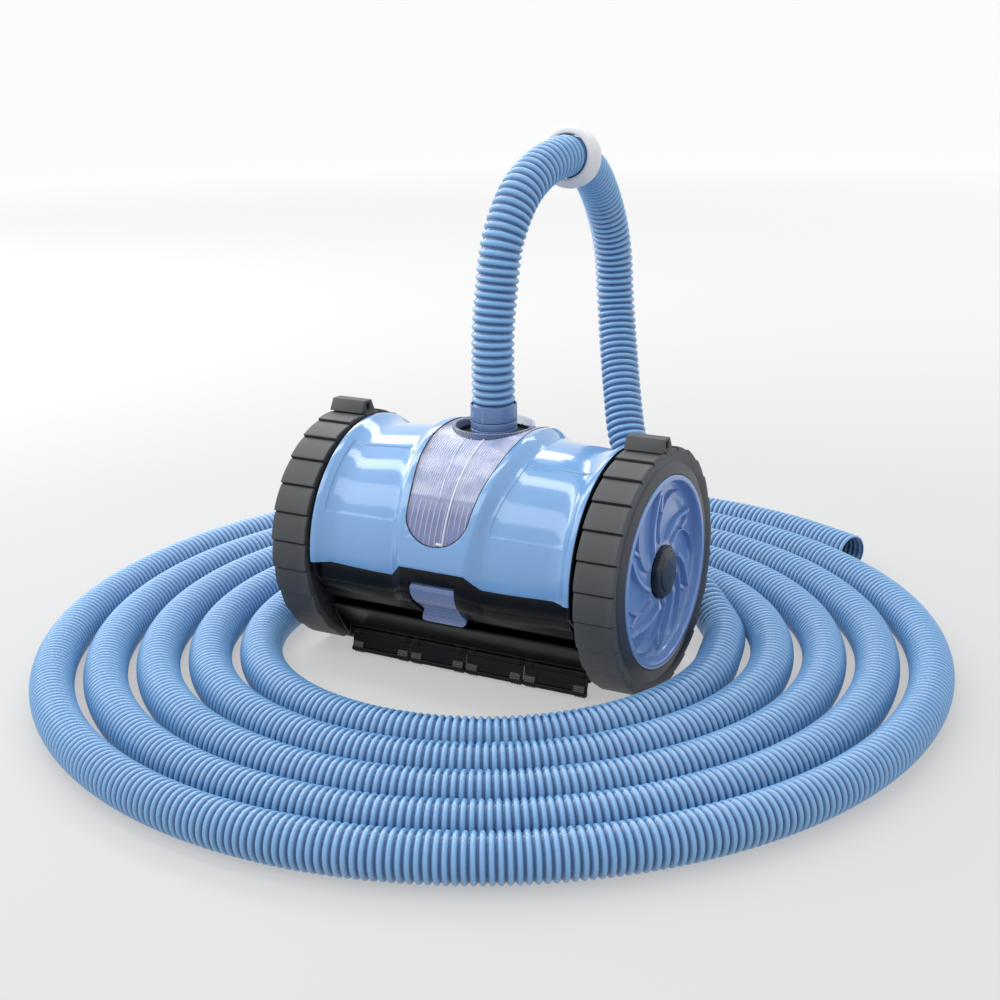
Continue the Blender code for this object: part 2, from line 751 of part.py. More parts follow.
def make_outlet():
    """Pipe, seal, swivel collar and hose cuff, one above the other."""
    flange = AXLE_Z + SADDLE_R - 0.0195
    flange_t = 0.0025
    seal_t = 0.0025
    collar_low = flange + flange_t + seal_t + 2 * GAP
    collar_high = AXLE_Z + SADDLE_R + 0.0055
    cuff_low = collar_high + 2 * GAP
    socket = cuff_low + 0.0040
    cuff_high = cuff_low + 0.0165
    inner = PIPE_R - PIPE_WALL
    pipe = [(PIPE_R, socket - 0.0005), (PIPE_R, flange + flange_t), (0.0300, flange + flange_t),
            (0.0300, flange), (PIPE_R, flange), (PIPE_R, flange - 0.008), (inner, flange - 0.008),
            (inner, socket - 0.0005)]
    seal_low = flange + flange_t + GAP
    pieces = (
        ("outlet_pipe", pipe, GREY),
        ("swivel_seal", tube_profile(PIPE_R + GAP, COLLAR_R - 0.001, seal_low, seal_low + seal_t),
         RUBBER),
        ("swivel_collar", tube_profile(PIPE_R + RUNNING, COLLAR_R, collar_low, collar_high), BLUE),
        ("hose_cuff", [(COLLAR_R, cuff_high), (COLLAR_R, cuff_low), (PIPE_R + GAP, cuff_low),
                       (PIPE_R + GAP, socket), (HOSE_R + GAP, socket), (HOSE_R + GAP, cuff_high)],
         BLUE),
    )
    for name, profile, look in pieces:
        obj = turned(profile, 24)
        obj.location = (0.0, OUTLET_Y, 0.0)
        finish(obj, name, look)


def latch_outline():
    """(y, z) outline about the latch's pin: a rolled top, an S and a lip."""
    spine = [(-0.0045, -0.0045), (-0.0015, -0.0105), (0.0050, -0.0172), (0.0115, -0.0228),
             (0.0150, -0.0282), (0.0178, -0.0333), (0.0176, -0.0372), (0.0158, -0.0408)]
    left, right = [], []
    for i, point in enumerate(spine):
        before = spine[max(i - 1, 0)]
        after = spine[min(i + 1, len(spine) - 1)]
        along = Vector(after) - Vector(before)
        side = Vector((-along.y, along.x)).normalized() * LATCH_T / 2
        left.append((point[0] + side.x, point[1] + side.y))
        right.append((point[0] - side.x, point[1] - side.y))
    return right + left[::-1]


def make_latch():
    pivot = (LATCH_PIN_Y, LATCH_PIN_Z)
    x0, x1 = -LATCH_HALF, LATCH_HALF
    latch = meshed(outline([circle(LATCH_TOP_R, 28)], x0, x1, pivot))
    combine(latch, meshed(outline([latch_outline()], x0, x1, pivot)), "UNION")
    bore = pipe_cutter(LATCH_PIN_R + RUNNING, -0.04, 0.04, LATCH_PIN_Y, LATCH_PIN_Z)
    combine(latch, bore, "DIFFERENCE")
    finish(latch, "latch", BLUE)
    rod("latch_pin", LATCH_PIN_R, LATCH_HALF + 0.004, LATCH_PIN_Y, LATCH_PIN_Z, STEEL, 16)


def foot_outline():
    """Channel section of the suction foot with its front lip, as (y, z) about the pin."""
    top = TUB_Z - 0.0010
    points = [
        (-0.0970, TUB_Z + 0.0105), (-0.0930, TUB_Z + 0.0120), (-0.0775, top), (0.0690, top),
        (0.0690, TUB_Z - 0.0240), (0.0662, TUB_Z - 0.0240), (0.0662, top - FOOT_WALL),
        (-0.0750, top - FOOT_WALL), (-0.0570, FLAP_Z + 0.0070), (-0.0620, FLAP_Z + 0.0050),
    ]
    return [(y - FOOT_PIN_Y, z - FOOT_PIN_Z) for y, z in points]


def make_foot():
    pivot = (FOOT_PIN_Y, FOOT_PIN_Z)
    foot = meshed(outline([foot_outline()], -FOOT_HALF, FOOT_HALF, pivot))
    side_low = FLAP_Z - 0.0065
    sides = lug(FOOT_HALF - FOOT_WALL, FOOT_HALF, (-0.0660, side_low), (0.0680, TUB_Z - 0.002))
    top = TUB_Z - 0.0010
    arms = lug(0.0906, 0.1006, (0.0600, top - FOOT_WALL), (FOOT_PIN_Y, top))
    for piece in sides + arms:
        combine(foot, piece, "UNION")
    for s in (1, -1):
        ring = outline([circle(FOOT_KNUCKLE_R, 24)], s * 0.0906, s * 0.1006, pivot)
        combine(foot, meshed(ring), "UNION")
    hole = block((-THROAT_X + 0.001, -THROAT_Y + 0.001, TUB_Z - 0.01),
                 (THROAT_X - 0.001, THROAT_Y - 0.001, TUB_Z + 0.01))
    combine(foot, hole, "DIFFERENCE")
    for radius, y, z in ((FOOT_PIN_R + RUNNING, FOOT_PIN_Y, FOOT_PIN_Z),
                         (FLAP_ROD_R + GAP, FLAP_Y, FLAP_Z)):
        combine(foot, pipe_cutter(radius, -0.16, 0.16, y, z), "DIFFERENCE")
    finish(foot, "suction_foot", BLACK)
    rod("foot_hinge_pin", FOOT_PIN_R, 0.1030, FOOT_PIN_Y, FOOT_PIN_Z, STEEL, 16)
    rod("front_flap_rod", FLAP_ROD_R, FOOT_HALF - 0.0004, FLAP_Y, FLAP_Z, STEEL, 16)
    skirt = block((-FOOT_HALF + 0.004, 0.0693, FLAP_GROUND),
                  (FOOT_HALF - 0.004, 0.0715, TUB_Z - 0.008))
    finish(skirt, "rear_skirt", RUBBER)


def make_flaps():
    """Four flaps side by side on one rod, each a knuckle, a blade and a rounded toe."""
    pivot = (FLAP_Y, FLAP_Z)
    end = FOOT_HALF - FOOT_WALL - 0.0008
    seams = [-end, -FLAP_SEAM, 0.0, FLAP_SEAM, end]
    toe_r = 0.0030
    toe = (-0.0055, FLAP_GROUND + toe_r - FLAP_Z)
    half = FLAP_T / 2
    blade = [(-half, 0.0), (half, 0.0), (toe[0] + half, toe[1]), (toe[0] - half, toe[1])]
    for k in range(4):
        x0, x1 = seams[k] + GAP, seams[k + 1] - GAP
        flap = meshed(outline([circle(FLAP_KNUCKLE_R, 20)], x0, x1, pivot))
        combine(flap, meshed(outline([blade], x0, x1, pivot)), "UNION")
        combine(flap, meshed(outline([circle(toe_r, 14, toe)], x0, x1, pivot)), "UNION")
        bore = pipe_cutter(FLAP_ROD_R + RUNNING, -0.16, 0.16, FLAP_Y, FLAP_Z, 16)
        combine(flap, bore, "DIFFERENCE")
        finish(flap, "front_flap_%d" % (k + 1), BLACK)


def spiral_radius(turns):
    return SPIRAL_R - SPIRAL_STEP * turns


def spiral_point(turns):
    angle = math.radians(SPIRAL_START + 360 * turns)
    radius = spiral_radius(turns)
    return Vector((SPIRAL_X + radius * math.cos(angle), SPIRAL_Y + radius * math.sin(angle), HOSE_R))


def hose_route():
    """The hose from the coil solid's inner end up over the arch to the cuff."""
    lay = (SPIRAL_TURNS - COIL_TURNS) / 6
    first = COIL_TURNS + END_GAP
    points = [spiral_point(first)] + [spiral_point(COIL_TURNS + lay * i) for i in range(1, 7)]
    return points + [Vector(point) for point in RISE]


def smooth_route(points, spacing):
    """Points at an even spacing along a Catmull-Rom curve through the given ones."""
    fine = []
    ends = [2 * points[0] - points[1]] + points + [2 * points[-1] - points[-2]]
    for a, b, c, d in zip(ends, ends[1:], ends[2:], ends[3:]):
        for i in range(16):
            t = i / 16
            fine.append(0.5 * (2 * b + (c - a) * t + (2 * a - 5 * b + 4 * c - d) * t * t
                               + (3 * b - a - 3 * c + d) * t ** 3))
    fine.append(points[-1])
    lengths = [0.0]
    for a, b in zip(fine, fine[1:]):
        lengths.append(lengths[-1] + (b - a).length)
    count = round(lengths[-1] / spacing)
    even = []
    k = 0
    for i in range(count + 1):
        want = lengths[-1] * i / count
        while k < len(fine) - 2 and lengths[k + 1] < want:
            k += 1
        share = (want - lengths[k]) / (lengths[k + 1] - lengths[k])
        even.append(fine[k].lerp(fine[k + 1], share))
    return even


def make_hose_tube():
    curve = bpy.data.curves.new("hose_rise", "CURVE")
    curve.dimensions = "3D"
    curve.bevel_depth = HOSE_R
    curve.bevel_resolution = 2
    curve.use_fill_caps = True
    points = smooth_route(hose_route(), TUBE_STEP)
    spline = curve.splines.new("POLY")
    spline.points.add(len(points) - 1)
    for target, point in zip(spline.points, points):
        target.co = (*point, 1.0)
    obj = bpy.data.objects.new("hose_rise", curve)
    PARTS.objects.link(obj)
    finish(obj, "hose_rise", HOSE_BLUE)


def make_float():
    """A rounded white ring round the hose, on the straight stretch nearest to its place."""
    points = smooth_route(hose_route(), TUBE_STEP)
    at = Vector(FLOAT_AT)
    low, high = min(zip(points, points[1:]), key=lambda pair: ((pair[0] + pair[1]) / 2 - at).length)
    bore = HOSE_R + 0.0014
    half = FLOAT_LENGTH / 2
    profile = [(bore, half), (FLOAT_R - 0.005, half), (FLOAT_R - 0.0015, half - 0.003),
               (FLOAT_R, half - 0.008), (FLOAT_R, -half + 0.008), (FLOAT_R - 0.0015, -half + 0.003),
               (FLOAT_R - 0.005, -half), (bore, -half)]
    obj = turned(profile, 24)
    obj.rotation_euler = (high - low).to_track_quat("Z", "Y").to_euler()
    obj.location = (low + high) / 2
    finish(obj, "hose_float", WHITE)


def make_coil():
    """One closed ring that has the outer shape of the flat coil on the floor."""
    steps = 48
    step_width = 0.0008
    chamfer = 0.0090
    turn_list = [i / steps for i in range(steps)]
    inner_end = COIL_TURNS % 1
    turn_list += [inner_end, inner_end + step_width, step_width]
    turn_list = sorted(t for t in set(turn_list) if not inner_end < t < inner_end + step_width)
    whole = int(COIL_TURNS)
    rows = []
    for turns in turn_list:
        outer_turns = turns if turns >= step_width else 1.0
        inner_turns = turns + (whole if turns <= inner_end else whole - 1)
        outer = spiral_radius(outer_turns) + HOSE_R
        inner = spiral_radius(inner_turns) - HOSE_R
        high = 2 * HOSE_R
        section = [(inner + chamfer, 0.0), (outer - chamfer, 0.0), (outer, chamfer),
                   (outer, high - chamfer), (outer - chamfer, high), (inner + chamfer, high),
                   (inner, high - chamfer), (inner, chamfer)]
        angle = math.radians(SPIRAL_START + 360 * turns)
        rows.append([(SPIRAL_X + r * math.cos(angle), SPIRAL_Y + r * math.sin(angle), z)
                     for r, z in section])
    tool = bmesh.new()
    grid = [[tool.verts.new(point) for point in row] for row in rows]
    for low, high_row in zip(grid, grid[1:] + grid[:1]):
        for i in range(8):
            j = (i + 1) % 8
            tool.faces.new((low[i], low[j], high_row[j], high_row[i]))
    bmesh.ops.recalc_face_normals(tool, faces=tool.faces)
    mesh = bpy.data.meshes.new("hose_coil")
    tool.to_mesh(mesh)
    tool.free()
    obj = bpy.data.objects.new("hose_coil", mesh)
    PARTS.objects.link(obj)
    finish(obj, "hose_coil", HOSE_BLUE)


def main():
    make_cover()
    make_window()
    make_chassis()
    make_inner_plates()
    make_tie_rods()
    make_end_plates()
    for side, name in ((1, "right"), (-1, "left")):
        make_tyre(side, name)
        make_hub(side, name)
        make_gears(side, name)
    make_turbine()
    make_outlet()
    make_latch()
    make_foot()
    make_flaps()
    make_coil()
    make_hose_tube()
    make_float()


clear_scene()
PARTS = new_collection("pool_cleaner")
GUIDES = new_collection("guides")
GUIDES.hide_render = True
main()
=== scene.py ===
"""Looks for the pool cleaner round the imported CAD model: materials, fine shapes, floor,
light and camera."""

import json
import math

import bmesh
import bpy
import numpy as np
from mathutils import Matrix, Vector


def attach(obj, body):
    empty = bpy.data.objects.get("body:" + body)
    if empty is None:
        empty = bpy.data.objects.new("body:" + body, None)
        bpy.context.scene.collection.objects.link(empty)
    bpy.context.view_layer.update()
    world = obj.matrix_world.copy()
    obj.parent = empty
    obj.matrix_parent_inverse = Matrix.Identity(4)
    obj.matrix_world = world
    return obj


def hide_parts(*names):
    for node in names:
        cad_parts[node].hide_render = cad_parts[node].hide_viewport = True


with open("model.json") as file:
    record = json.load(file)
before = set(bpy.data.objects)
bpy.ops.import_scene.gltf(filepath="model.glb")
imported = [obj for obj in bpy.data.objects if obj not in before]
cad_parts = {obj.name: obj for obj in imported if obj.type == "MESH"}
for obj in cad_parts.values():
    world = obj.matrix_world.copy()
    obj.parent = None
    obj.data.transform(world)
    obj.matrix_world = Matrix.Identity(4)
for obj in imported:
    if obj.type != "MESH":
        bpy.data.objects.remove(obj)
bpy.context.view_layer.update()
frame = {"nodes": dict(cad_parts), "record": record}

# Sizes that the fine shapes share with the CAD model, in metres
GAP = 0.0003
WALL = 0.0025
AXLE_Z = 0.127
WHEEL_R = 0.127
WHEEL_IN = 0.154
WHEEL_W = 0.044
RIM_R = 0.099
LUGS = 26
LUG_DEPTH = 0.0028
CLEAT_H = 0.0126
CLEAT_BASE = 0.0270
CLEAT_TOP = 0.0135
CLEAT_BORE = 0.0074
CLEAT_INSET = 0.0015
CLEAT_AT = {"right": 89.0, "left": 87.0}
SADDLE_R = 0.130
BARREL_R = 0.1195
BARREL_END_R = 0.1150
PANEL_END = 0.128
FLANGE_R = 0.124
FLANGE_IN = 0.1445
FLANGE_OUT = 0.1495
END_PLATE_X = 0.1455
COVER_LOW = -1.3
COVER_LOW_MID = 5.3
BROW_LOW = -18.5
BROW_LOW_MID = -12.5
EDGE_GAP = 0.25
WINDOW_LOW = 16.1
WINDOW_REAR = 118.0
WINDOW_HALF = 0.0485
OUTLET_Y = 0.0066
RING_R = 0.043
TUB_Z = AXLE_Z - 0.0685
THROAT_X = 0.048
THROAT_Y = 0.045
FOOT_HALF = 0.1448
FLAP_Y = -0.060
FLAP_Z = AXLE_Z - 0.0995
FLAP_GROUND = 0.0045
FLAP_SEAM = 0.068
FOOT_PIN_Y = 0.078
FOOT_PIN_Z = TUB_Z + 0.0005
LATCH_HALF = 0.0258
LATCH_PIN = (-0.122, AXLE_Z - 0.0105)
LATCH_TOP_R = 0.0072
HOSE_R = 0.0225

# The hose's route, the same as in the CAD source
SPIRAL_X = 0.0113
SPIRAL_Y = -0.0047
SPIRAL_R = 0.49347
SPIRAL_STEP = 0.053404
SPIRAL_START = 58.878
SPIRAL_TURNS = 4.88
RISE = [
    (0.2300, 0.0800, 0.0225), (0.2235, 0.1010, 0.0226), (0.2125, 0.1220, 0.0240),
    (0.1860, 0.1500, 0.0330), (0.1470, 0.1780, 0.0560), (0.1070, 0.2050, 0.0920),
    (0.0700, 0.2300, 0.1360), (0.0392, 0.2560, 0.1838), (0.0190, 0.2840, 0.2315),
    (0.0050, 0.3060, 0.2692), (-0.0060, 0.3230, 0.3084), (-0.0110, 0.3290, 0.3410),
    (-0.0130, 0.3280, 0.3829), (-0.0135, 0.3150, 0.4232), (-0.0110, 0.2850, 0.4630),
    (-0.0020, 0.2370, 0.4930), (0.0070, 0.1750, 0.5130), (0.0085, 0.1380, 0.5149),
    (0.0070, 0.0960, 0.5060), (0.0045, 0.0580, 0.4840), (0.0015, 0.0290, 0.4430),
    (-0.0005, 0.0170, 0.3914), (-0.0008, 0.0098, 0.3520), (0.0000, 0.0066, 0.3150),
    (0.0000, 0.0066, 0.2900), (0.0000, 0.0066, 0.2680),
]
COIL_PITCH = 0.0073             # from rib to rib
RISE_PITCH = 0.0082
RIB_DEPTH = 0.0029
FLOAT_AT = (0.0070, 0.1750, 0.5130)
FLOAT_R = 0.0335
FLOAT_LENGTH = 0.0280


# ---------------------------------------------------------------- materials

def new_material(name):
    material = bpy.data.materials.new(name)
    material.use_nodes = True
    tree = material.node_tree
    shader = next(n for n in tree.nodes if n.type == "BSDF_PRINCIPLED")
    return material, tree, shader


def add(tree, kind, inputs=None, **properties):
    """A node with its properties set, and its inputs linked or given a value."""
    made = tree.nodes.new(kind)
    for key, value in properties.items():
        setattr(made, key, value)
    for key, value in (inputs or {}).items():
        if isinstance(value, bpy.types.NodeSocket):
            tree.links.new(value, made.inputs[key])
        else:
            made.inputs[key].default_value = value
    return made


def noise(tree, where, scale, detail=3.0, roughness=0.55):
    inputs = {"Vector": where, "Scale": scale, "Detail": detail, "Roughness": roughness}
    return add(tree, "ShaderNodeTexNoise", inputs).outputs["Fac"]


def spread(tree, value, low, high, to_low, to_high):
    inputs = {"Value": value, "From Min": low, "From Max": high, "To Min": to_low,
              "To Max": to_high}
    return add(tree, "ShaderNodeMapRange", inputs).outputs["Result"]


def mixed(tree, factor, first, second):
    made = add(tree, "ShaderNodeMix", data_type="RGBA")
    for socket, value in zip((made.inputs[0], made.inputs[6], made.inputs[7]),
                             (factor, first, second)):
        if isinstance(value, bpy.types.NodeSocket):
            tree.links.new(value, socket)
        else:
            socket.default_value = value
    return made.outputs[2]


def grained(tree, shader, where, scale, strength):
    """A fine moulded grain over the whole piece."""
    fine = noise(tree, where, scale, 2.0)
    bump = add(tree, "ShaderNodeBump", {"Height": fine, "Strength": strength, "Distance": 0.0003})
    tree.links.new(bump.outputs["Normal"], shader.inputs["Normal"])


def see_through(tree, shader, tint, edge_on, least, most):
    """Lets the light through, and less of it where the surface turns away."""
    through = add(tree, "ShaderNodeBsdfTransparent", {"Color": (*tint, 1.0)})
    skin = add(tree, "ShaderNodeLayerWeight", {"Blend": 0.35}).outputs["Facing"]
    share = spread(tree, skin, 0.0, edge_on, least, most)
    both = add(tree, "ShaderNodeMixShader", {0: share, 1: through.outputs[0],
                                            2: shader.outputs[0]})
    output = next(n for n in tree.nodes if n.type == "OUTPUT_MATERIAL")
    tree.links.new(both.outputs[0], output.inputs["Surface"])


def moulded(name, colour, deep, edge, roughness, grain, grain_size, patch=9.0, coat=0.0,
            specular=0.5, groove=None):
    """Moulded plastic or rubber: slow tone changes, a painted highlight on sharp edges, and a fine
    moulded grain.
    groove is a colour of painted shade for the places that a mesh marks as low in its height
    attribute."""
    material, tree, shader = new_material(name)
    where = add(tree, "ShaderNodeTexCoord").outputs["Object"]
    slow = spread(tree, noise(tree, where, patch), 0.35, 0.65, 0.0, 1.0)
    tone = mixed(tree, slow, (*deep, 1.0), (*colour, 1.0))
    if groove:
        height = add(tree, "ShaderNodeAttribute", attribute_name="height").outputs["Fac"]
        # painted shade: the groove colour darkens the places marked low
        tone = mixed(tree, spread(tree, height, 0.05, 0.75, 0.0, 1.0), (*groove, 1.0), tone)
    pointed = add(tree, "ShaderNodeNewGeometry").outputs["Pointiness"]
    # painted highlight: the edge colour lightens the sharp, convex edges
    edge_highlight = spread(tree, pointed, 0.53, 0.60, 0.0, 0.55)
    tree.links.new(mixed(tree, edge_highlight, tone, (*edge, 1.0)), shader.inputs["Base Color"])
    smear = noise(tree, where, 42.0, 4.0)
    tree.links.new(spread(tree, smear, 0.3, 0.7, roughness - 0.03, roughness + 0.04),
                   shader.inputs["Roughness"])
    grained(tree, shader, where, 1.0 / grain_size, grain)
    shader.inputs["Coat Weight"].default_value = coat
    shader.inputs["Coat Roughness"].default_value = 0.05
    shader.inputs["Specular IOR Level"].default_value = specular
    return material


def lens_plastic(name):
    """The window: milky where the chamber's light wall shows behind it, and a deeper violet
    below, with painted highlights as pale streaks along its ribs and beads, and painted shade
    between the ribs."""
    material, tree, shader = new_material(name)
    where = add(tree, "ShaderNodeTexCoord").outputs["Object"]
    parts = add(tree, "ShaderNodeSeparateXYZ", {0: where})
    across, height = parts.outputs["X"], parts.outputs["Z"]
    upper = spread(tree, height, LENS_STEP - 0.0010, LENS_STEP + 0.0010, 0.0, 1.0)
    cloud = noise(tree, where, 55.0, 3.0)
    pale = mixed(tree, spread(tree, cloud, 0.35, 0.65, 0.0, 1.0), (0.40, 0.47, 0.70, 1.0),
                 (0.66, 0.71, 0.88, 1.0))
    deep = mixed(tree, cloud, (0.20, 0.25, 0.47, 1.0), (0.33, 0.38, 0.62, 1.0))
    tone = mixed(tree, upper, deep, pale)
    ridge = add(tree, "ShaderNodeAttribute", attribute_name="height").outputs["Fac"]
    # painted shade: darker in the low places between the ribs
    tone = mixed(tree, spread(tree, ridge, 0.0, 0.16, 0.60, 0.0), tone, (0.22, 0.25, 0.44, 1.0))
    # painted highlight: near white on the ribs and the raised beads
    tone = mixed(tree, spread(tree, ridge, 0.36, 0.72, 0.0, 0.95), tone, (0.95, 0.96, 0.99, 1.0))
    tone = mixed(tree, spread(tree, across, -0.046, -0.033, 0.75, 0.0), tone,
                 (0.15, 0.15, 0.24, 1.0))
    tree.links.new(tone, shader.inputs["Base Color"])
    tree.links.new(spread(tree, cloud, 0.3, 0.7, 0.10, 0.20), shader.inputs["Roughness"])
    grained(tree, shader, where, 700.0, 0.015)
    shader.inputs["Coat Weight"].default_value = 0.5
    see_through(tree, shader, (0.90, 0.92, 0.98), 0.9, 0.55, 0.90)
    return material


def clear_plastic(name, tint, body, milk, roughness):
    """Clear moulding: mostly see-through, with a milky share and a glossy skin."""
    material, tree, shader = new_material(name)
    where = add(tree, "ShaderNodeTexCoord").outputs["Object"]
    shader.inputs["Base Color"].default_value = (*body, 1.0)
    tree.links.new(spread(tree, noise(tree, where, 60.0), 0.3, 0.7, roughness, roughness + 0.08),
                   shader.inputs["Roughness"])
    grained(tree, shader, where, 900.0, 0.015)
    see_through(tree, shader, tint, 1.0, milk, 0.62)
    return material


def steel_finish(name):
    """Drawn stainless steel: long fine scratches along the piece."""
    material, tree, shader = new_material(name)
    where = add(tree, "ShaderNodeTexCoord").outputs["Object"]
    drawn = add(tree, "ShaderNodeMapping", {"Vector": where, "Scale": (30.0, 1500.0, 1500.0)})
    lines = noise(tree, drawn.outputs["Vector"], 1.0, 2.0)
    tree.links.new(mixed(tree, lines, (0.42, 0.42, 0.43, 1.0), (0.68, 0.68, 0.69, 1.0)),
                   shader.inputs["Base Color"])
    tree.links.new(spread(tree, lines, 0.3, 0.7, 0.22, 0.36), shader.inputs["Roughness"])
    shader.inputs["Metallic"].default_value = 1.0
    bump = add(tree, "ShaderNodeBump", {"Height": lines, "Strength": 0.15, "Distance": 0.0002})
    tree.links.new(bump.outputs["Normal"], shader.inputs["Normal"])
    return material


def floor_finish():
    material, tree, shader = new_material("floor_finish")
    where = add(tree, "ShaderNodeTexCoord").outputs["Object"]
    away = add(tree, "ShaderNodeVectorMath", {0: where}, operation="LENGTH").outputs["Value"]
    slow = noise(tree, where, 0.8)
    near = mixed(tree, slow, (0.20, 0.20, 0.203, 1.0), (0.22, 0.22, 0.223, 1.0))
    tone = mixed(tree, spread(tree, away, 0.8, 4.6, 0.0, 1.0), near, (0.52, 0.52, 0.52, 1.0))
    tree.links.new(tone, shader.inputs["Base Color"])
    shader.inputs["Emission Color"].default_value = (1.0, 1.0, 1.0, 1.0)
    shader.inputs["Emission Strength"].default_value = 0.43
    shader.inputs["Roughness"].default_value = 0.75
    shader.inputs["Specular IOR Level"].default_value = 0.15
    return material


LENS_STEP = 0.2075              # height at which the chamber's wall ends behind the window

# Each moulding: its colour, its deeper colour and the lighter colour painted as a highlight on its
# edges, roughness, strength and size of the grain, and what is particular to it
MOULDED = {
    "body_blue": ((0.155, 0.320, 0.580), (0.146, 0.306, 0.560), (0.26, 0.45, 0.75),
        0.15, 0.03, 0.0012, {"coat": 0.8}),
    "hub_blue": ((0.150, 0.265, 0.545), (0.135, 0.245, 0.515), (0.34, 0.48, 0.76),
        0.20, 0.03, 0.0010, {"coat": 0.6}),
    "latch_blue": ((0.115, 0.175, 0.345), (0.108, 0.165, 0.330), (0.30, 0.36, 0.56),
        0.26, 0.002, 0.0010, {"coat": 0.15}),
    "collar_blue": ((0.105, 0.190, 0.390), (0.095, 0.175, 0.365), (0.22, 0.34, 0.58),
        0.22, 0.04, 0.0010, {"coat": 0.25}),
    "black_plastic": ((0.0035, 0.0036, 0.0042), (0.0030, 0.0031, 0.0037), (0.012, 0.0125, 0.014),
        0.30, 0.004, 0.0006, {"specular": 0.18}),
    "cap_black": ((0.006, 0.008, 0.017), (0.005, 0.007, 0.014), (0.03, 0.035, 0.055),
        0.28, 0.005, 0.0008, {}),
    # the groove colour is painted shade in the notches behind the lugs
    "tyre_rubber": ((0.058, 0.059, 0.062), (0.050, 0.051, 0.054), (0.090, 0.092, 0.098),
        0.50, 0.12, 0.0005, {"patch": 16.0, "specular": 0.4, "groove": (0.012, 0.012, 0.014)}),
    "tyre_side": ((0.030, 0.032, 0.040), (0.025, 0.027, 0.034), (0.060, 0.062, 0.070),
        0.38, 0.10, 0.0005, {"patch": 16.0, "specular": 0.5}),
    "cleat_rubber": ((0.046, 0.047, 0.050), (0.040, 0.041, 0.044), (0.075, 0.077, 0.082),
        0.50, 0.12, 0.0005, {"patch": 16.0, "specular": 0.4}),
    "clip_grey": ((0.060, 0.060, 0.062), (0.050, 0.050, 0.052), (0.14, 0.14, 0.145),
        0.35, 0.06, 0.0006, {}),
    "seal_rubber": ((0.018, 0.018, 0.019), (0.013, 0.013, 0.014), (0.05, 0.05, 0.05),
        0.60, 0.20, 0.0005, {}),
    "inner_plastic": ((0.60, 0.63, 0.74), (0.54, 0.57, 0.68), (0.72, 0.74, 0.82),
        0.32, 0.08, 0.0008, {}),
    "acetal": ((0.66, 0.65, 0.61), (0.60, 0.59, 0.55), (0.78, 0.77, 0.74),
        0.36, 0.08, 0.0008, {}),
    # the groove colour is painted shade in the rib grooves and inside the open end
    "hose_blue": ((0.150, 0.335, 0.590), (0.132, 0.308, 0.555), (0.30, 0.50, 0.76),
        0.28, 0.03, 0.0010, {"patch": 5.0, "coat": 0.25, "groove": (0.018, 0.062, 0.180)}),
    "float_white": ((0.62, 0.625, 0.655), (0.59, 0.595, 0.625), (0.82, 0.82, 0.85),
        0.42, 0.06, 0.0006, {}),
}
LOOKS = {name: moulded(name + "_look", *values, **extra)
         for name, (*values, extra) in MOULDED.items()}
LOOKS |= {
    "steel": steel_finish("steel_look"),
    "clear_plastic": clear_plastic("clear_plastic_look", (0.90, 0.92, 0.97),
                                   (0.55, 0.60, 0.75), 0.05, 0.05),
    "lens": lens_plastic("lens_look"),
}


# ---------------------------------------------------------------- mesh helpers

def placed(name, verts, faces):
    mesh = bpy.data.meshes.new(name)
    mesh.from_pydata([tuple(v) for v in verts], [], faces)
    obj = bpy.data.objects.new(name, mesh)
    bpy.context.scene.collection.objects.link(obj)
    return obj


def facing_out(obj):
    tool = bmesh.new()
    tool.from_mesh(obj.data)
    bmesh.ops.recalc_face_normals(tool, faces=tool.faces)
    tool.to_mesh(obj.data)
    tool.free()
    return obj


def grid(name, rows, around=False, along=False, caps=False):
    """A surface through equal rows of points. around closes each row, along joins the last
    row to the first, and caps fills the first and the last row."""
    width, count = len(rows[0]), len(rows)
    verts = [p for row in rows for p in row]
    faces = []
    for i in range(count if along else count - 1):
        a, b = i * width, (i + 1) % count * width
        for j in range(width if around else width - 1):
            k = (j + 1) % width
            faces.append((a + j, a + k, b + k, b + j))
    if caps:
        faces += [tuple(range(width))[::-1], tuple(range((count - 1) * width, count * width))]
    return facing_out(placed(name, verts, faces))


def extruded(name, ring, x0, x1):
    """A closed (y, z) outline as a solid from x0 to x1."""
    return grid(name, [[(x, y, z) for y, z in ring] for x in (x0, x1)], around=True, caps=True)


def lathe(name, profile, steps=64, closed=False):
    """A (radius, height) profile turned about Z; its ends may lie on the axis."""
    rows = []
    for i in range(steps):
        a = 2 * math.pi * i / steps
        rows.append([(r * math.cos(a), r * math.sin(a), h) for r, h in profile])
    return grid(name, rows, around=closed, along=True)


def rounded_profile(profile, radius, closed=True, steps=3):
    """The profile with each corner cut by a short arc, to catch the light."""
    made = []
    count = len(profile)
    for i, corner in enumerate(profile):
        if not closed and i in (0, count - 1):
            made.append(corner)
            continue
        here = Vector(corner)
        before, after = Vector(profile[i - 1]) - here, Vector(profile[(i + 1) % count]) - here
        cut = min(radius, before.length * 0.45, after.length * 0.45)
        first, last = here + before.normalized() * cut, here + after.normalized() * cut
        for k in range(steps + 1):
            t = k / steps
            point = (1 - t) ** 2 * first + 2 * t * (1 - t) * here + t * t * last
            made.append((point.x, point.y))
    return made


def settle(obj):
    """Applies the modifiers."""
    bpy.context.view_layer.update()
    seen = obj.evaluated_get(bpy.context.evaluated_depsgraph_get())
    mesh = bpy.data.meshes.new_from_object(seen)
    obj.modifiers.clear()
    obj.data = mesh
    return obj


def cut(obj, *others):
    for other in others:
        modifier = obj.modifiers.new("Cut", "BOOLEAN")
        modifier.operation = "DIFFERENCE"
        modifier.solver = "EXACT"
        modifier.object = other
    settle(obj)
    for other in others:
        bpy.data.objects.remove(other, do_unlink=True)
    return obj


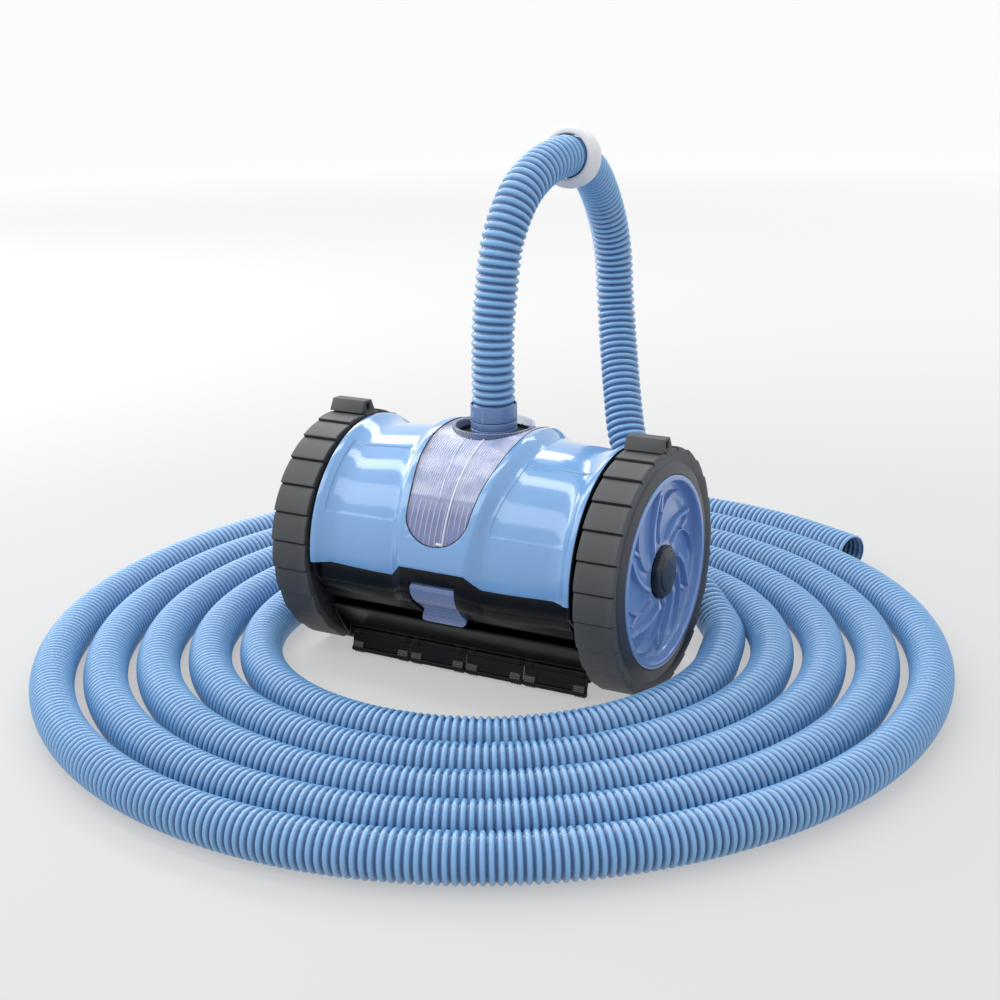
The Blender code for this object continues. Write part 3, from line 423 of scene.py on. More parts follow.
def bevelled(obj, width, segments=2, angle=32.0):
    modifier = obj.modifiers.new("Bevel", "BEVEL")
    modifier.width = width
    modifier.segments = segments
    modifier.limit_method = "ANGLE"
    modifier.angle_limit = math.radians(angle)
    modifier.use_clamp_overlap = True
    return settle(obj)


def joined(name, objs):
    """One object from several."""
    tool = bmesh.new()
    for obj in objs:
        tool.from_mesh(obj.data)
        bpy.data.objects.remove(obj, do_unlink=True)
    mesh = bpy.data.meshes.new(name)
    tool.to_mesh(mesh)
    tool.free()
    made = bpy.data.objects.new(name, mesh)
    bpy.context.scene.collection.objects.link(made)
    return made


def dress(obj, look, body, replaces=(), sharp=34.0):
    """The finish, smooth shading, the body it rides on and the CAD nodes it stands for."""
    mesh = obj.data
    mesh.materials.clear()
    mesh.materials.append(LOOKS[look])
    mesh.shade_smooth()
    if sharp:
        mesh.set_sharp_from_angle(angle=math.radians(sharp))
    if replaces:
        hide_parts(*replaces)
    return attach(obj, body)


def between(value, table):
    if value <= table[0][0]:
        return table[0][1]
    for (a, low), (b, high) in zip(table, table[1:]):
        if value <= b:
            return low + (high - low) * (value - a) / (b - a)
    return table[-1][1]


def clamped(value):
    return min(max(value, 0.0), 1.0)


def eased(value):
    value = clamped(value)
    return value * value * (3 - 2 * value)


def box(low, high):
    (x0, y0, z0), (x1, y1, z1) = low, high
    return extruded("box", [(y0, z0), (y1, z0), (y1, z1), (y0, z1)], x0, x1)


def block(x0, x1, low, high, rounding):
    """A box with bevelled edges, between the (y, z) corners low and high; x0 and x1 may
    come in either order."""
    x0, x1 = sorted((x0, x1))
    return bevelled(box((x0, *low), (x1, *high)), rounding)


def laid(obj, y, z):
    """Lays a turned piece along X, at this y and z."""
    obj.data.transform(Matrix.Rotation(math.pi / 2, 4, "Y"))
    obj.data.transform(Matrix.Translation((0.0, y, z)))
    return facing_out(obj)


def round_bar(radius, x0, x1, y, z, steps=28, rounding=0.0008):
    """A bar along X with rounded ends."""
    profile = [(0.0, x0), (radius, x0), (radius, x1), (0.0, x1)]
    return laid(lathe("bar", rounded_profile(profile, rounding, closed=False), steps), y, z)


def sleeve(inner, outer, x0, x1, y, z, rounding, steps=28):
    """A short tube along X."""
    profile = [(inner, x0), (outer, x0), (outer, x1), (inner, x1)]
    return laid(lathe("sleeve", rounded_profile(profile, rounding), steps, closed=True), y, z)


def bore(radius, y, z, steps):
    """A long cutter along X."""
    profile = [(0.0, -1), (radius, -1), (radius, 1), (0.0, 1)]
    return laid(lathe("bore", profile, steps), y, z)


# ---------------------------------------------------------------- casing

PANEL_LOW = 25.0                # degrees: the sunk panel on each side of the saddle
PANEL_HIGH = 67.0
PANEL_DEPTH = 0.0011
PANEL_OUT = 0.1385


def on_casing(x, radius, degrees):
    angle = math.radians(degrees)
    return (x, -radius * math.cos(angle), AXLE_Z + radius * math.sin(angle))


def barrel_radius(x):
    share = clamped((x - 0.07) / (PANEL_END - 0.07))
    return BARREL_R - (BARREL_R - BARREL_END_R) * share ** 1.3


def saddle_widths(degrees):
    """The half widths of the saddle's top and of its foot at this angle."""
    seen = min(degrees, 180 - degrees)
    top = between(seen, [(8, 0.0370), (35, 0.0445), (50, 0.0485), (80, 0.0570)])
    foot = between(seen, [(31, 0.0520), (54, 0.0615), (83, 0.0695)])
    return top, foot


def flange_radius(x):
    share = clamped((x - PANEL_END) / (FLANGE_IN - PANEL_END))
    return BARREL_END_R + (FLANGE_R - BARREL_END_R) * share ** 1.35


def side_columns(degrees, panel):
    """(x, radius) from the middle out: saddle top, flank, barrel with a sunk panel, cone."""
    top, foot = saddle_widths(degrees)
    low = barrel_radius(foot)
    slope = (SADDLE_R - low) / (foot - top)
    columns = [(0.0, SADDLE_R), (top * 0.3, SADDLE_R), (top * 0.6, SADDLE_R),
               (top * 0.85, SADDLE_R), (top - 0.0014, SADDLE_R), (top - 0.0003, SADDLE_R - 0.0002)]
    columns += [(top + 0.0008, SADDLE_R - 0.0008 * slope), ((top + foot) / 2, (SADDLE_R + low) / 2),
                (foot - 0.0008, low + 0.0008 * slope), (foot + 0.0004, low + 0.0001)]
    start = foot + 0.0035
    steps = [start, start + 0.0005] + [start + (PANEL_OUT - start) * k / 9 for k in range(1, 9)]
    steps += [PANEL_OUT - 0.0005, PANEL_OUT]
    for i, x in enumerate(steps):
        radius = flange_radius(x) if x > PANEL_END else barrel_radius(x)
        sunk = panel if 0 < i < len(steps) - 1 else 0.0
        columns.append((x, radius - sunk))
    columns += [(x, flange_radius(x)) for x in (0.1400, 0.1416, 0.1432)]
    columns += [(FLANGE_IN - 0.0003, FLANGE_R - 0.0004), (FLANGE_IN + 0.0004, FLANGE_R),
                (FLANGE_OUT - 0.0006, FLANGE_R), (FLANGE_OUT, FLANGE_R - 0.0006)]
    return columns


def mirrored(columns):
    return [(-x, r) for x, r in columns[:0:-1]] + columns


def panel_depth(degrees):
    seen = min(degrees, 180 - degrees)
    return PANEL_DEPTH * clamped((seen - PANEL_LOW + 0.18) / 0.36) \
        * clamped((PANEL_HIGH + 0.18 - seen) / 0.36)


def cover_low(x):
    """The cover's lower front edge, which steps up over the latch."""
    return between(abs(x), [(0.0370, COVER_LOW_MID), (0.0520, COVER_LOW)])


def window_half(degrees):
    sides = between(degrees, [(30.5, 0.0360), (42.8, 0.0390), (57.8, 0.0450), (74, WINDOW_HALF)])
    low = (30.5 - degrees) / (30.5 - WINDOW_LOW)
    high = (degrees - WINDOW_REAR + 12) / 12
    end = max(low, high, 0.0)
    return sides * math.sqrt(max(1 - end * end, 0.0))


def window_solid(grow, r_in, r_out):
    """A cutter of the window's outline, larger by grow on every side."""
    steps = 72
    arc = math.degrees(grow / SADDLE_R)
    rows = []
    for i in range(steps + 1):
        share = 0.5 - 0.5 * math.cos(math.pi * (i + 0.12) / (steps + 0.24))
        degrees = WINDOW_LOW + (WINDOW_REAR - WINDOW_LOW) * share
        half = window_half(degrees) + grow
        seen = degrees + arc * (2 * share - 1)
        corners = [(-half, r_in), (half, r_in), (half, r_out), (-half, r_out)]
        rows.append([on_casing(x, r, seen) for x, r in corners])
    return grid("window_cutter", rows, around=True, caps=True)


def outlet_cutter(radius):
    profile = [(0.0, -0.05), (radius, -0.05), (radius, 0.05), (0.0, 0.05)]
    obj = lathe("outlet_cutter", profile, 96)
    obj.data.transform(Matrix.Translation((0.0, OUTLET_Y, AXLE_Z + SADDLE_R)))
    return facing_out(obj)


def shell_piece(name, rows, thickness=WALL):
    """An open surface thickened towards the axle."""
    obj = grid(name, rows)
    middle = obj.data.polygons[len(obj.data.polygons) // 2]
    outward = middle.center - Vector((middle.center.x, 0.0, AXLE_Z))
    if middle.normal.dot(outward) < 0:
        obj.data.flip_normals()
    solid = obj.modifiers.new("Wall", "SOLIDIFY")
    solid.thickness = thickness
    solid.offset = -1.0
    return settle(obj)


def make_cover():
    angles = [COVER_LOW + k * 2.2 for k in range(6)]
    special = [PANEL_LOW - 0.18, PANEL_LOW + 0.18, PANEL_HIGH - 0.18, PANEL_HIGH + 0.18]
    angles += [float(a) for a in range(12, 90, 3) if all(abs(a - s) > 0.5 for s in special)]
    angles = sorted(angles + special)
    angles += [90.0] + [180 - a for a in angles[::-1]]
    rows = []
    for angle in angles:
        row = []
        for x, radius in mirrored(side_columns(angle, panel_depth(angle))):
            degrees = angle
            if angle < 12:
                low = cover_low(x)
                degrees = low + (12 - low) * (angle - COVER_LOW) / (12 - COVER_LOW)
            row.append(on_casing(x, radius, degrees))
        rows.append(row)
    cover = shell_piece("cover_shell", rows)
    cut(cover, window_solid(GAP, SADDLE_R - 0.03, SADDLE_R + 0.02))
    bevelled(cover, 0.0006)
    dress(cover, "body_blue", "chassis", replaces=["top_cover"], sharp=40)


def mark_height(obj, values):
    """Stores a height from 0 to 1 for each point, which the materials read."""
    marks = obj.data.attributes.new("height", "FLOAT", "POINT")
    marks.data.foreach_set("value", values)


# the bead's brightness is a highlight painted white by the lens look
SEAM_X = 0.0110                 # the bright bead down the window


def lens_relief(x, degrees):
    """Height of the window's ribs at a place, as a share of their depth, and the beads."""
    fine = 0.5 + 0.5 * math.cos(2 * math.pi * x / 0.0026)
    broad = max(math.cos(2 * math.pi * (x - 0.0079) / 0.0062), 0.0) ** 4
    upper = eased((degrees - 35.5) / 2.5)
    ribs = 0.60 * fine * upper + 1.1 * broad * (1 - upper)
    seam = eased(1.6 - abs(x - SEAM_X) / 0.0009)
    line = 0.6 * eased(1.5 - abs(x + 0.0035 + (degrees - 41) * 0.0002) / 0.0006) * upper
    foot = eased(1.5 - abs(degrees - 17.6) / 0.55) * (0.0035 < x < SEAM_X)
    ledge = 0.5 * eased(1.5 - abs(degrees - 36.6) / 0.35)
    return max(ribs * 0.55, ledge), max(seam, line, foot)


def make_window():
    """The clear cover over the turbine: ribs round the barrel, and a bright bead down it; their
    heights set where the lens look paints highlights and shade.
    """
    depth, bead = 0.0009, 0.0006
    across, along = 230, 96
    rows, heights = [], []
    for i in range(along + 1):
        share = 0.5 - 0.5 * math.cos(math.pi * (i + 0.3) / (along + 0.6))
        degrees = WINDOW_LOW + (WINDOW_REAR - WINDOW_LOW) * share
        half = window_half(degrees)
        top = []
        for j in range(across + 1):
            x = half * (2 * j / across - 1)
            ribs, raised = lens_relief(x, degrees)
            top.append(on_casing(x, SADDLE_R - depth + depth * ribs + (bead + depth * (1 - ribs))
                                 * raised, degrees))
            heights.append(max(ribs, raised))
        under = [on_casing(x, SADDLE_R - WALL, degrees) for x in (half, 0.0, -half)]
        heights += [0.0] * 3
        rows.append(top + under)
    window = grid("window_lens", rows, around=True, caps=True)
    mark_height(window, heights)
    cut(window, outlet_cutter(RING_R + GAP))
    dress(window, "lens", "chassis", replaces=["turbine_window"], sharp=50)
    edge = []
    for i in range(73):
        share = 0.5 - 0.5 * math.cos(math.pi * (i + 0.05) / 72.1)
        degrees = WINDOW_LOW + (WINDOW_REAR - WINDOW_LOW) * share
        edge.append((window_half(degrees), degrees))
    loop = [(h, d) for h, d in edge] + [(-h, d) for h, d in edge[::-1]]
    rows = []
    for shrink, radius in ((0.0000, SADDLE_R - 0.0010), (0.0000, SADDLE_R + 0.0001),
                           (0.0004, SADDLE_R + 0.0003), (0.0007, SADDLE_R + 0.0001),
                           (0.0008, SADDLE_R - 0.0010)):
        ring = []
        for half, degrees in loop:
            middle = (WINDOW_LOW + WINDOW_REAR) / 2
            reach_low = clamped((degrees - WINDOW_LOW) / 14)
            reach_high = clamped((WINDOW_REAR - degrees) / 12)
            pull = math.degrees(shrink / SADDLE_R) * (1 - min(reach_low, reach_high))
            seen = degrees + (pull if degrees < middle else -pull)
            inner = max(abs(half) - shrink * math.sqrt(min(reach_low, reach_high) + 0.02), 0.0)
            ring.append(on_casing(math.copysign(inner, half), radius, seen))
        rows.append(ring)
    bound = grid("window_edge", rows, around=True, along=True)
    cut(bound, outlet_cutter(RING_R + GAP))
    dress(bound, "cap_black", "chassis", sharp=50)


def make_rim():
    """The clear ring round the outlet, with a funnel inside it."""
    top = AXLE_Z + SADDLE_R + 0.0005
    low = top - 0.0135
    profile = [(RING_R, low), (RING_R, top), (RING_R - 0.0030, top), (RING_R - 0.0030, low)]
    upright("rim_ring", profile, 0.0009, "clear_plastic", "chassis", ["window_rim"])
    floor_z = low + 0.0006
    profile = [(RING_R - 0.0034, low + 0.0050), (RING_R - 0.0034, floor_z),
               (0.0262, floor_z - 0.0035), (0.0262, floor_z - 0.0050),
               (RING_R - 0.0022, floor_z - 0.0012), (RING_R - 0.0034, floor_z - 0.0001)]
    upright("rim_dish", profile, 0.0003, "seal_rubber", "chassis")


def brow_profile(rear):
    """Columns of the chassis band under the cover, with a lower strip that leans in."""
    rows = []
    for share, lean in ((0.0, 0.0006), (0.05, 0.0), (0.35, 0.0), (0.55, 0.0), (0.585, 0.0006),
                        (0.62, 0.0), (0.80, 0.0010), (0.93, 0.0022), (0.985, 0.0034),
                        (1.0, 0.0048)):
        row = []
        top, foot = saddle_widths(0)
        half = [(0.0, SADDLE_R), (top * 0.5, SADDLE_R), (top - 0.0012, SADDLE_R),
                (top, SADDLE_R - 0.0003), (foot - 0.0006, barrel_radius(foot) + 0.0004),
                (foot + 0.0008, barrel_radius(foot))]
        half += [(x, barrel_radius(x)) for x in (0.0650, 0.0860, 0.1080, PANEL_END, 0.1395)]
        half.append((END_PLATE_X - GAP, BARREL_END_R))
        for x, radius in mirrored(half):
            high = (COVER_LOW if rear else cover_low(x)) - EDGE_GAP
            blend = eased((abs(x) - top) / (foot + 0.004 - top))
            low = BROW_LOW_MID + (BROW_LOW - BROW_LOW_MID) * blend
            degrees = high + (low - high) * share
            row.append(on_casing(x, radius - lean, 180 - degrees if rear else degrees))
        rows.append(row)
    return rows


def tub_rows(xs, rear):
    """The rows under the brow: back under it, down, and in to the flat underside."""
    path = [(-0.1035, TUB_Z + 0.0245), (-0.0990, TUB_Z + 0.0215), (-0.0860, TUB_Z + 0.0140),
            (-0.0730, TUB_Z + 0.0080), (-0.0700, TUB_Z + 0.0060), (-0.0648, TUB_Z + 0.0008),
            (-0.0636, TUB_Z)]
    rows = [[(x, -y if rear else y, z) for x in xs] for y, z in path]
    return rows[::-1] if rear else rows


def make_chassis():
    front = brow_profile(False)
    rear = brow_profile(True)[::-1]
    xs = [point[0] for point in front[0]]
    rows = front + tub_rows(xs, False) + tub_rows(xs, True) + rear
    obj = shell_piece("chassis_shell", rows)
    half = LATCH_HALF + 2 * GAP
    notch_top = LATCH_PIN[1] + LATCH_TOP_R + 4 * GAP
    notch = box((-half, -0.15, 0.07), (half, -0.1010, notch_top))
    throat = box((-THROAT_X, -THROAT_Y, 0.0), (THROAT_X, THROAT_Y, AXLE_Z - 0.02))
    cut(obj, notch, throat)
    bevelled(obj, 0.0005)
    extras = [obj]
    for side in (1, -1):
        extras.append(block(side * half, side * (half + 0.004),
                            (-0.1278, LATCH_PIN[1] - 0.005), (-0.1170, LATCH_PIN[1] + 0.005),
                            0.0008))
        extras.append(block(side * 0.080, side * 0.090,
                            (FOOT_PIN_Y - 0.0055, FOOT_PIN_Z - 0.0045),
                            (FOOT_PIN_Y + 0.0055, TUB_Z + 0.013), 0.0012))
    dress(joined("chassis_detail", extras), "black_plastic", "chassis",
          replaces=["lower_chassis"], sharp=36)


def make_end_plates():
    cheek = [(-0.0975, -0.042), (-0.0934, -0.048), (-0.0843, -0.073), (-0.0690, -0.097),
             (-0.0562, -0.109), (-0.0500, -0.113)]
    arc = []
    for i in range(73):
        angle = math.radians(-8.0 + 196.0 * i / 72)
        arc.append((-0.1205 * math.cos(angle), 0.1205 * math.sin(angle)))
    ring = arc + [(-y, z) for y, z in cheek] + cheek[::-1]
    ring = [(y, z + AXLE_Z) for y, z in ring]
    for side, name in ((1, "right"), (-1, "left")):
        x0, x1 = sorted((side * END_PLATE_X, side * (END_PLATE_X + 0.004)))
        plate = bevelled(extruded(name + "_cheek", ring, x0, x1), 0.0010)
        cut(plate, bore(0.0111, 0.0, AXLE_Z, 48))
        bead = [plate]
        x = side * (END_PLATE_X - 0.0002)
        for turn in (1, -1):
            path = [Vector((x, y * turn, z + AXLE_Z)) for y, z in cheek]
            bead.append(tube("bead", smooth_route(path, 0.004), 0.0009, 10))
        dress(joined(name + "_end_plate_detail", bead), "black_plastic", "chassis",
              replaces=[name + "_end_plate"])


def frames_along(points):
    """For each point the two directions across the path, without twist."""
    tangents = []
    for i in range(len(points)):
        a, b = points[max(i - 1, 0)], points[min(i + 1, len(points) - 1)]
        tangents.append((b - a).normalized())
    start = Vector((0, 0, 1)) if abs(tangents[0].z) < 0.9 else Vector((1, 0, 0))
    side = tangents[0].cross(start).normalized()
    made = []
    for tangent in tangents:
        side = (side - tangent * side.dot(tangent)).normalized()
        made.append((side, tangent.cross(side)))
    return made


def tube(name, points, radius, sides=16):
    rows = []
    for point, (u, v) in zip(points, frames_along(points)):
        rows.append([point + radius * (math.cos(2 * math.pi * k / sides) * u
                                       + math.sin(2 * math.pi * k / sides) * v)
                     for k in range(sides)])
    return grid(name, rows, around=True, caps=True)


def smooth_route(points, spacing, steps=16):
    """Points at an even spacing along a Catmull-Rom curve through the given ones."""
    fine = []
    ends = [2 * points[0] - points[1]] + points + [2 * points[-1] - points[-2]]
    for a, b, c, d in zip(ends, ends[1:], ends[2:], ends[3:]):
        for i in range(steps):
            t = i / steps
            fine.append(0.5 * (2 * b + (c - a) * t + (2 * a - 5 * b + 4 * c - d) * t * t
                               + (3 * b - a - 3 * c + d) * t ** 3))
    fine.append(points[-1])
    lengths = [0.0]
    for a, b in zip(fine, fine[1:]):
        lengths.append(lengths[-1] + (b - a).length)
    count = max(round(lengths[-1] / spacing), 1)
    even = []
    k = 0
    for i in range(count + 1):
        want = lengths[-1] * i / count
        while k < len(fine) - 2 and lengths[k + 1] < want:
            k += 1
        share = (want - lengths[k]) / (lengths[k + 1] - lengths[k])
        even.append(fine[k].lerp(fine[k + 1], share))
    return even


# ---------------------------------------------------------------- wheels

def make_tyre(side, name):
    """A tyre with shingle lugs, a notch behind each lug painted dark as shade, and a bevelled ring
    round the rim.
    """
    step = 360 / LUGS
    crown = {0.0: -0.35, 0.022: -0.35, 0.050: 0.16, 0.16: 0.36, 0.34: 0.56, 0.54: 0.74,
             0.74: 0.88, 0.90: 0.98, 0.955: 1.0, 0.976: 0.93, 0.984: -0.10}
    seat = math.sqrt((WHEEL_R - 0.0002) ** 2 - (CLEAT_BASE / 2 + 0.001) ** 2)
    half_seat = math.degrees(math.atan2(CLEAT_BASE / 2 + 0.001, seat))
    face = WHEEL_IN + WHEEL_W
    base = WHEEL_R - LUG_DEPTH
    rows, heights = [], []
    for k in range(LUGS):
        for share, rise in crown.items():
            degrees = -90 + step * (k + share)
            top = base + LUG_DEPTH * rise
            off = (degrees - CLEAT_AT[name] + 180) % 360 - 180
            if abs(off) < half_seat:
                top = min(top, seat / math.cos(math.radians(off)) - 0.0001)
            shoulder = 0.1212 + 0.55 * max(top - base, -0.0006)
            section = [(WHEEL_IN + 0.0010, RIM_R + GAP), (WHEEL_IN + 0.0002, 0.1015),
                       (WHEEL_IN + 0.0002, 0.1190), (WHEEL_IN + 0.0005, shoulder),
                       (WHEEL_IN + 0.0010, top - 0.0008), (WHEEL_IN + 0.0018, top)]
            inner, outer = WHEEL_IN + 0.0018, face - 0.0026
            section += [(inner + (outer - inner) * i / 4, top) for i in range(1, 5)]
            section += [(face - 0.0018, top - 0.0007), (face - 0.0014, shoulder),
                        (face - 0.0016, 0.1185), (face - 0.0024, 0.1150), (face - 0.0030, 0.1124),
                        (face - 0.0028, 0.1116), (face - 0.0022, 0.1110), (face - 0.0003, 0.1004),
                        (face - 0.0006, RIM_R + GAP)]
            # the notch rows are marked low, so the groove colour paints shade in them
            mark = 0.0 if rise < 0 else 1.0
            heights += [1.0 if r < shoulder - 0.0001 else mark for _, r in section]
            angle = math.radians(degrees)
            rows.append([(side * x, r * math.cos(angle), AXLE_Z + r * math.sin(angle))
                         for x, r in section])
    tyre = grid(name + "_tyre_tread", rows, around=True, along=True)
    mark_height(tyre, heights)
    dress(tyre, "tyre_rubber", name + "_wheel", replaces=[name + "_tyre"], sharp=24)
    tyre.data.materials.append(LOOKS["tyre_side"])
    for polygon in tyre.data.polygons:
        x, y, z = polygon.center
        if math.hypot(y, z - AXLE_Z) < 0.1200:
            polygon.material_index = 1
    low = seat + GAP
    middle = low + CLEAT_H / 2 - 0.0005
    half_low, half_high, bore = CLEAT_BASE / 2, CLEAT_TOP / 2, CLEAT_BORE / 2
    flat = [(-half_low, low), (half_low, low), (half_high, low + CLEAT_H),
            (-half_high, low + CLEAT_H)]
    hole = [(-bore, middle - bore), (bore, middle - bore), (bore, middle + bore),
            (-bore, middle + bore)]
    turn = math.radians(CLEAT_AT[name] - 90)
    cos, sin = math.cos(turn), math.sin(turn)

    def turned_about(ring):
        return [(y * cos - z * sin, AXLE_Z + y * sin + z * cos) for y, z in ring]

    x0, x1 = sorted((side * (WHEEL_IN + CLEAT_INSET), side * (face - CLEAT_INSET)))
    cleat = extruded(name + "_cleat_block", turned_about(flat), x0, x1)
    cut(cleat, extruded("hole", turned_about(hole), x0 - 0.01, x1 + 0.01))
    bevelled(cleat, 0.0006)
    dress(cleat, "cleat_rubber", name + "_wheel", replaces=[name + "_cleat"])


HUB_FACE = WHEEL_IN + WHEEL_W
DISH = 0.0108                   # depth of the wheel's dish below its face
PETALS = 6
TAB_R = 0.0700                  # of the small ribs between the petals
SWIRL = 50.0                    # degrees that a petal turns from the cap out to the rim


def petal_edges(share):
    """For a place from the cap out to the rim, the petal's start and end in sixths of a turn."""
    width = 0.66 * math.sqrt(max(1 - abs(2 * share - 1) ** 3, 0.0)) + 0.03
    return 0.5 - width / 2, 0.5 + width / 2


def make_hub(side, name):
    """A dished wheel with swirling petals: a broad flat-topped wall on one side of each, a
    thin one on the other, and a sunk floor that slopes between them."""
    steps = 48
    r0, r1 = 0.0275, 0.0905
    rows = []
    for i in range(steps + 1):
        share = i / steps
        radius = r0 + (r1 - r0) * share
        twist = -SWIRL * share ** 1.2
        start, end = petal_edges(share)
        ends = eased(min((share - 0.03) / 0.13, (0.97 - share) / 0.09))
        floor_x = -DISH + 0.0056 * (1 - share) ** 1.8 + 0.0012 * eased((share - 0.80) / 0.20)
        wall = 0.0056 * ends
        thin = 0.0036 * ends
        low = -0.0012 * ends
        per = 0.00200 / (radius * math.pi / 3)      # two millimetres, as a share of a petal
        band = min(2.1 * per, (end - start) * 0.30)
        row = []
        for k in range(PETALS):
            marks = [(start - per * 0.6, 0.0), (start - per * 0.15, wall),
                     (start + band, wall * 1.10), (start + band + per * 0.5, low + 0.0014 * ends)]
            run = end - start - band - 1.4 * per
            marks += [(start + band + per * 0.5 + run * t, low + 0.0014 * (1 - t) * ends
                       - 0.0006 * ends * math.sin(math.pi * t)) for t in (0.25, 0.5, 0.75, 1.0)]
            marks += [(end - per * 0.35, thin), (end + per * 0.15, thin), (end + per * 0.6, 0.0)]
            rest = 1.0 - (end - start) - 1.2 * per
            marks += [(end + per * 0.6 + rest * t, 0.0010 * math.sin(math.pi * t) * ends)
                      for t in (0.25, 0.5, 0.75)]
            for u, height in marks:
                angle = math.radians(360 / PETALS * (k + u) + twist)
                row.append((side * (HUB_FACE + floor_x + height), radius * math.cos(angle),
                            AXLE_Z + radius * math.sin(angle)))
        rows.append(row)
    count = len(rows[0])
    first = [math.atan2(z - AXLE_Z, y) for _, y, z in rows[-1]]

    def ring_at(radius, x, even):
        """A ring of the rim, whose points go from the petals' spacing to an even one."""
        made = []
        for j, angle in enumerate(first):
            level = first[0] + 2 * math.pi * j / count
            off = (angle - level + math.pi) % (2 * math.pi) - math.pi
            at = level + off * (1 - even)
            made.append((side * x, radius * math.cos(at), AXLE_Z + radius * math.sin(at)))
        return made

    floor = HUB_FACE - DISH
    for radius, x, even in ((0.0914, floor + 0.0016, 0.3), (0.0920, floor + 0.0028, 0.6),
                            (0.0926, floor + 0.0052, 0.9), (0.0930, HUB_FACE - 0.0008, 1.0),
                            (0.0932, HUB_FACE + 0.0002, 1.0), (0.0938, HUB_FACE + 0.0010, 1.0),
                            (0.0946, HUB_FACE + 0.0013, 1.0), (0.0972, HUB_FACE + 0.0013, 1.0),
                            (0.0984, HUB_FACE + 0.0010, 1.0), (0.0989, HUB_FACE + 0.0002, 1.0),
                            (0.0989, HUB_FACE - 0.0100, 1.0), (0.0989, WHEEL_IN + 0.0020, 1.0),
                            (0.0955, WHEEL_IN + 0.0020, 1.0), (0.0900, floor - 0.0045, 1.0),
                            (0.0600, floor - 0.0060, 1.0), (0.0260, HUB_FACE - 0.0190, 1.0),
                            (0.0130, HUB_FACE - 0.0190, 1.0), (0.0130, WHEEL_IN + 0.003, 1.0),
                            (0.0053, WHEEL_IN + 0.003, 1.0), (0.0053, HUB_FACE - 0.0123, 1.0),
                            (0.0240, HUB_FACE - 0.0123, 0.5), (0.0264, HUB_FACE - 0.0080, 0.2)):
        rows.append(ring_at(radius, x, even))
    parts = [grid(name + "_hub_swirl", rows, around=True, along=True)]
    for k in range(PETALS):
        share = (TAB_R - r0) / (r1 - r0)
        angle = math.radians(360 / PETALS * (k + 0.98) - SWIRL * share ** 1.2)
        tab = block(floor - 0.001, floor + 0.0050, (-0.0085, -0.0018), (0.0085, 0.0018), 0.0005)
        tab.data.transform(Matrix.Rotation(angle, 4, "X"))
        tab.data.transform(Matrix.Translation((0.0, TAB_R * math.cos(angle),
                                               AXLE_Z + TAB_R * math.sin(angle))))
        if side < 0:
            tab.data.transform(Matrix.Scale(-1, 4, (1, 0, 0)))
            tab.data.flip_normals()
        parts.append(tab)
    dress(joined(name + "_hub_dish", parts), "hub_blue", name + "_wheel",
          replaces=[name + "_hub"], sharp=26)


def octagon(half_y, half_z):
    corner = 0.42
    shape = [(1.0, corner), (corner, 1.0), (-corner, 1.0), (-1.0, corner),
             (-1.0, -corner), (-corner, -1.0), (corner, -1.0), (1.0, -corner)]
    return [(half_y * y, AXLE_Z + half_z * z) for y, z in shape]


def make_cap(side, name):
    """The black eight-sided cap: a bevelled base with a smaller block on it."""
    low = HUB_FACE - 0.0120 + GAP
    layers = [(low, 1.0), (HUB_FACE + 0.0004, 1.0), (HUB_FACE + 0.0016, 0.94),
              (HUB_FACE + 0.0016, 0.74), (HUB_FACE + 0.0030, 0.70), (HUB_FACE + 0.0030, 0.35)]
    rows = []
    for x, size in layers:
        rows.append([(side * x, y, z) for y, z in octagon(0.0240 * size, 0.0258 * size)])
    cap = grid(name + "_cap_block", rows, around=True, caps=True)
    bevelled(cap, 0.0006, 2, 20)
    dress(cap, "cap_black", name + "_wheel", replaces=[name + "_hub_cap"], sharp=30)


# ---------------------------------------------------------------- latch, foot and flaps

LATCH_SPINE = [(-0.0045, -0.0045), (-0.0015, -0.0105), (0.0050, -0.0172), (0.0115, -0.0228),
               (0.0150, -0.0282), (0.0178, -0.0333), (0.0176, -0.0372), (0.0158, -0.0408)]
LATCH_WIDTHS = [(-0.0420, 0.0190), (-0.0412, 0.0226), (-0.0395, 0.0246), (-0.0370, 0.0252),
                (-0.0335, 0.0247), (-0.0306, 0.0222), (-0.0267, 0.0208), (-0.0220, 0.0221),
                (-0.0152, 0.0244), (-0.0040, 0.0256), (0.0072, 0.0257)]


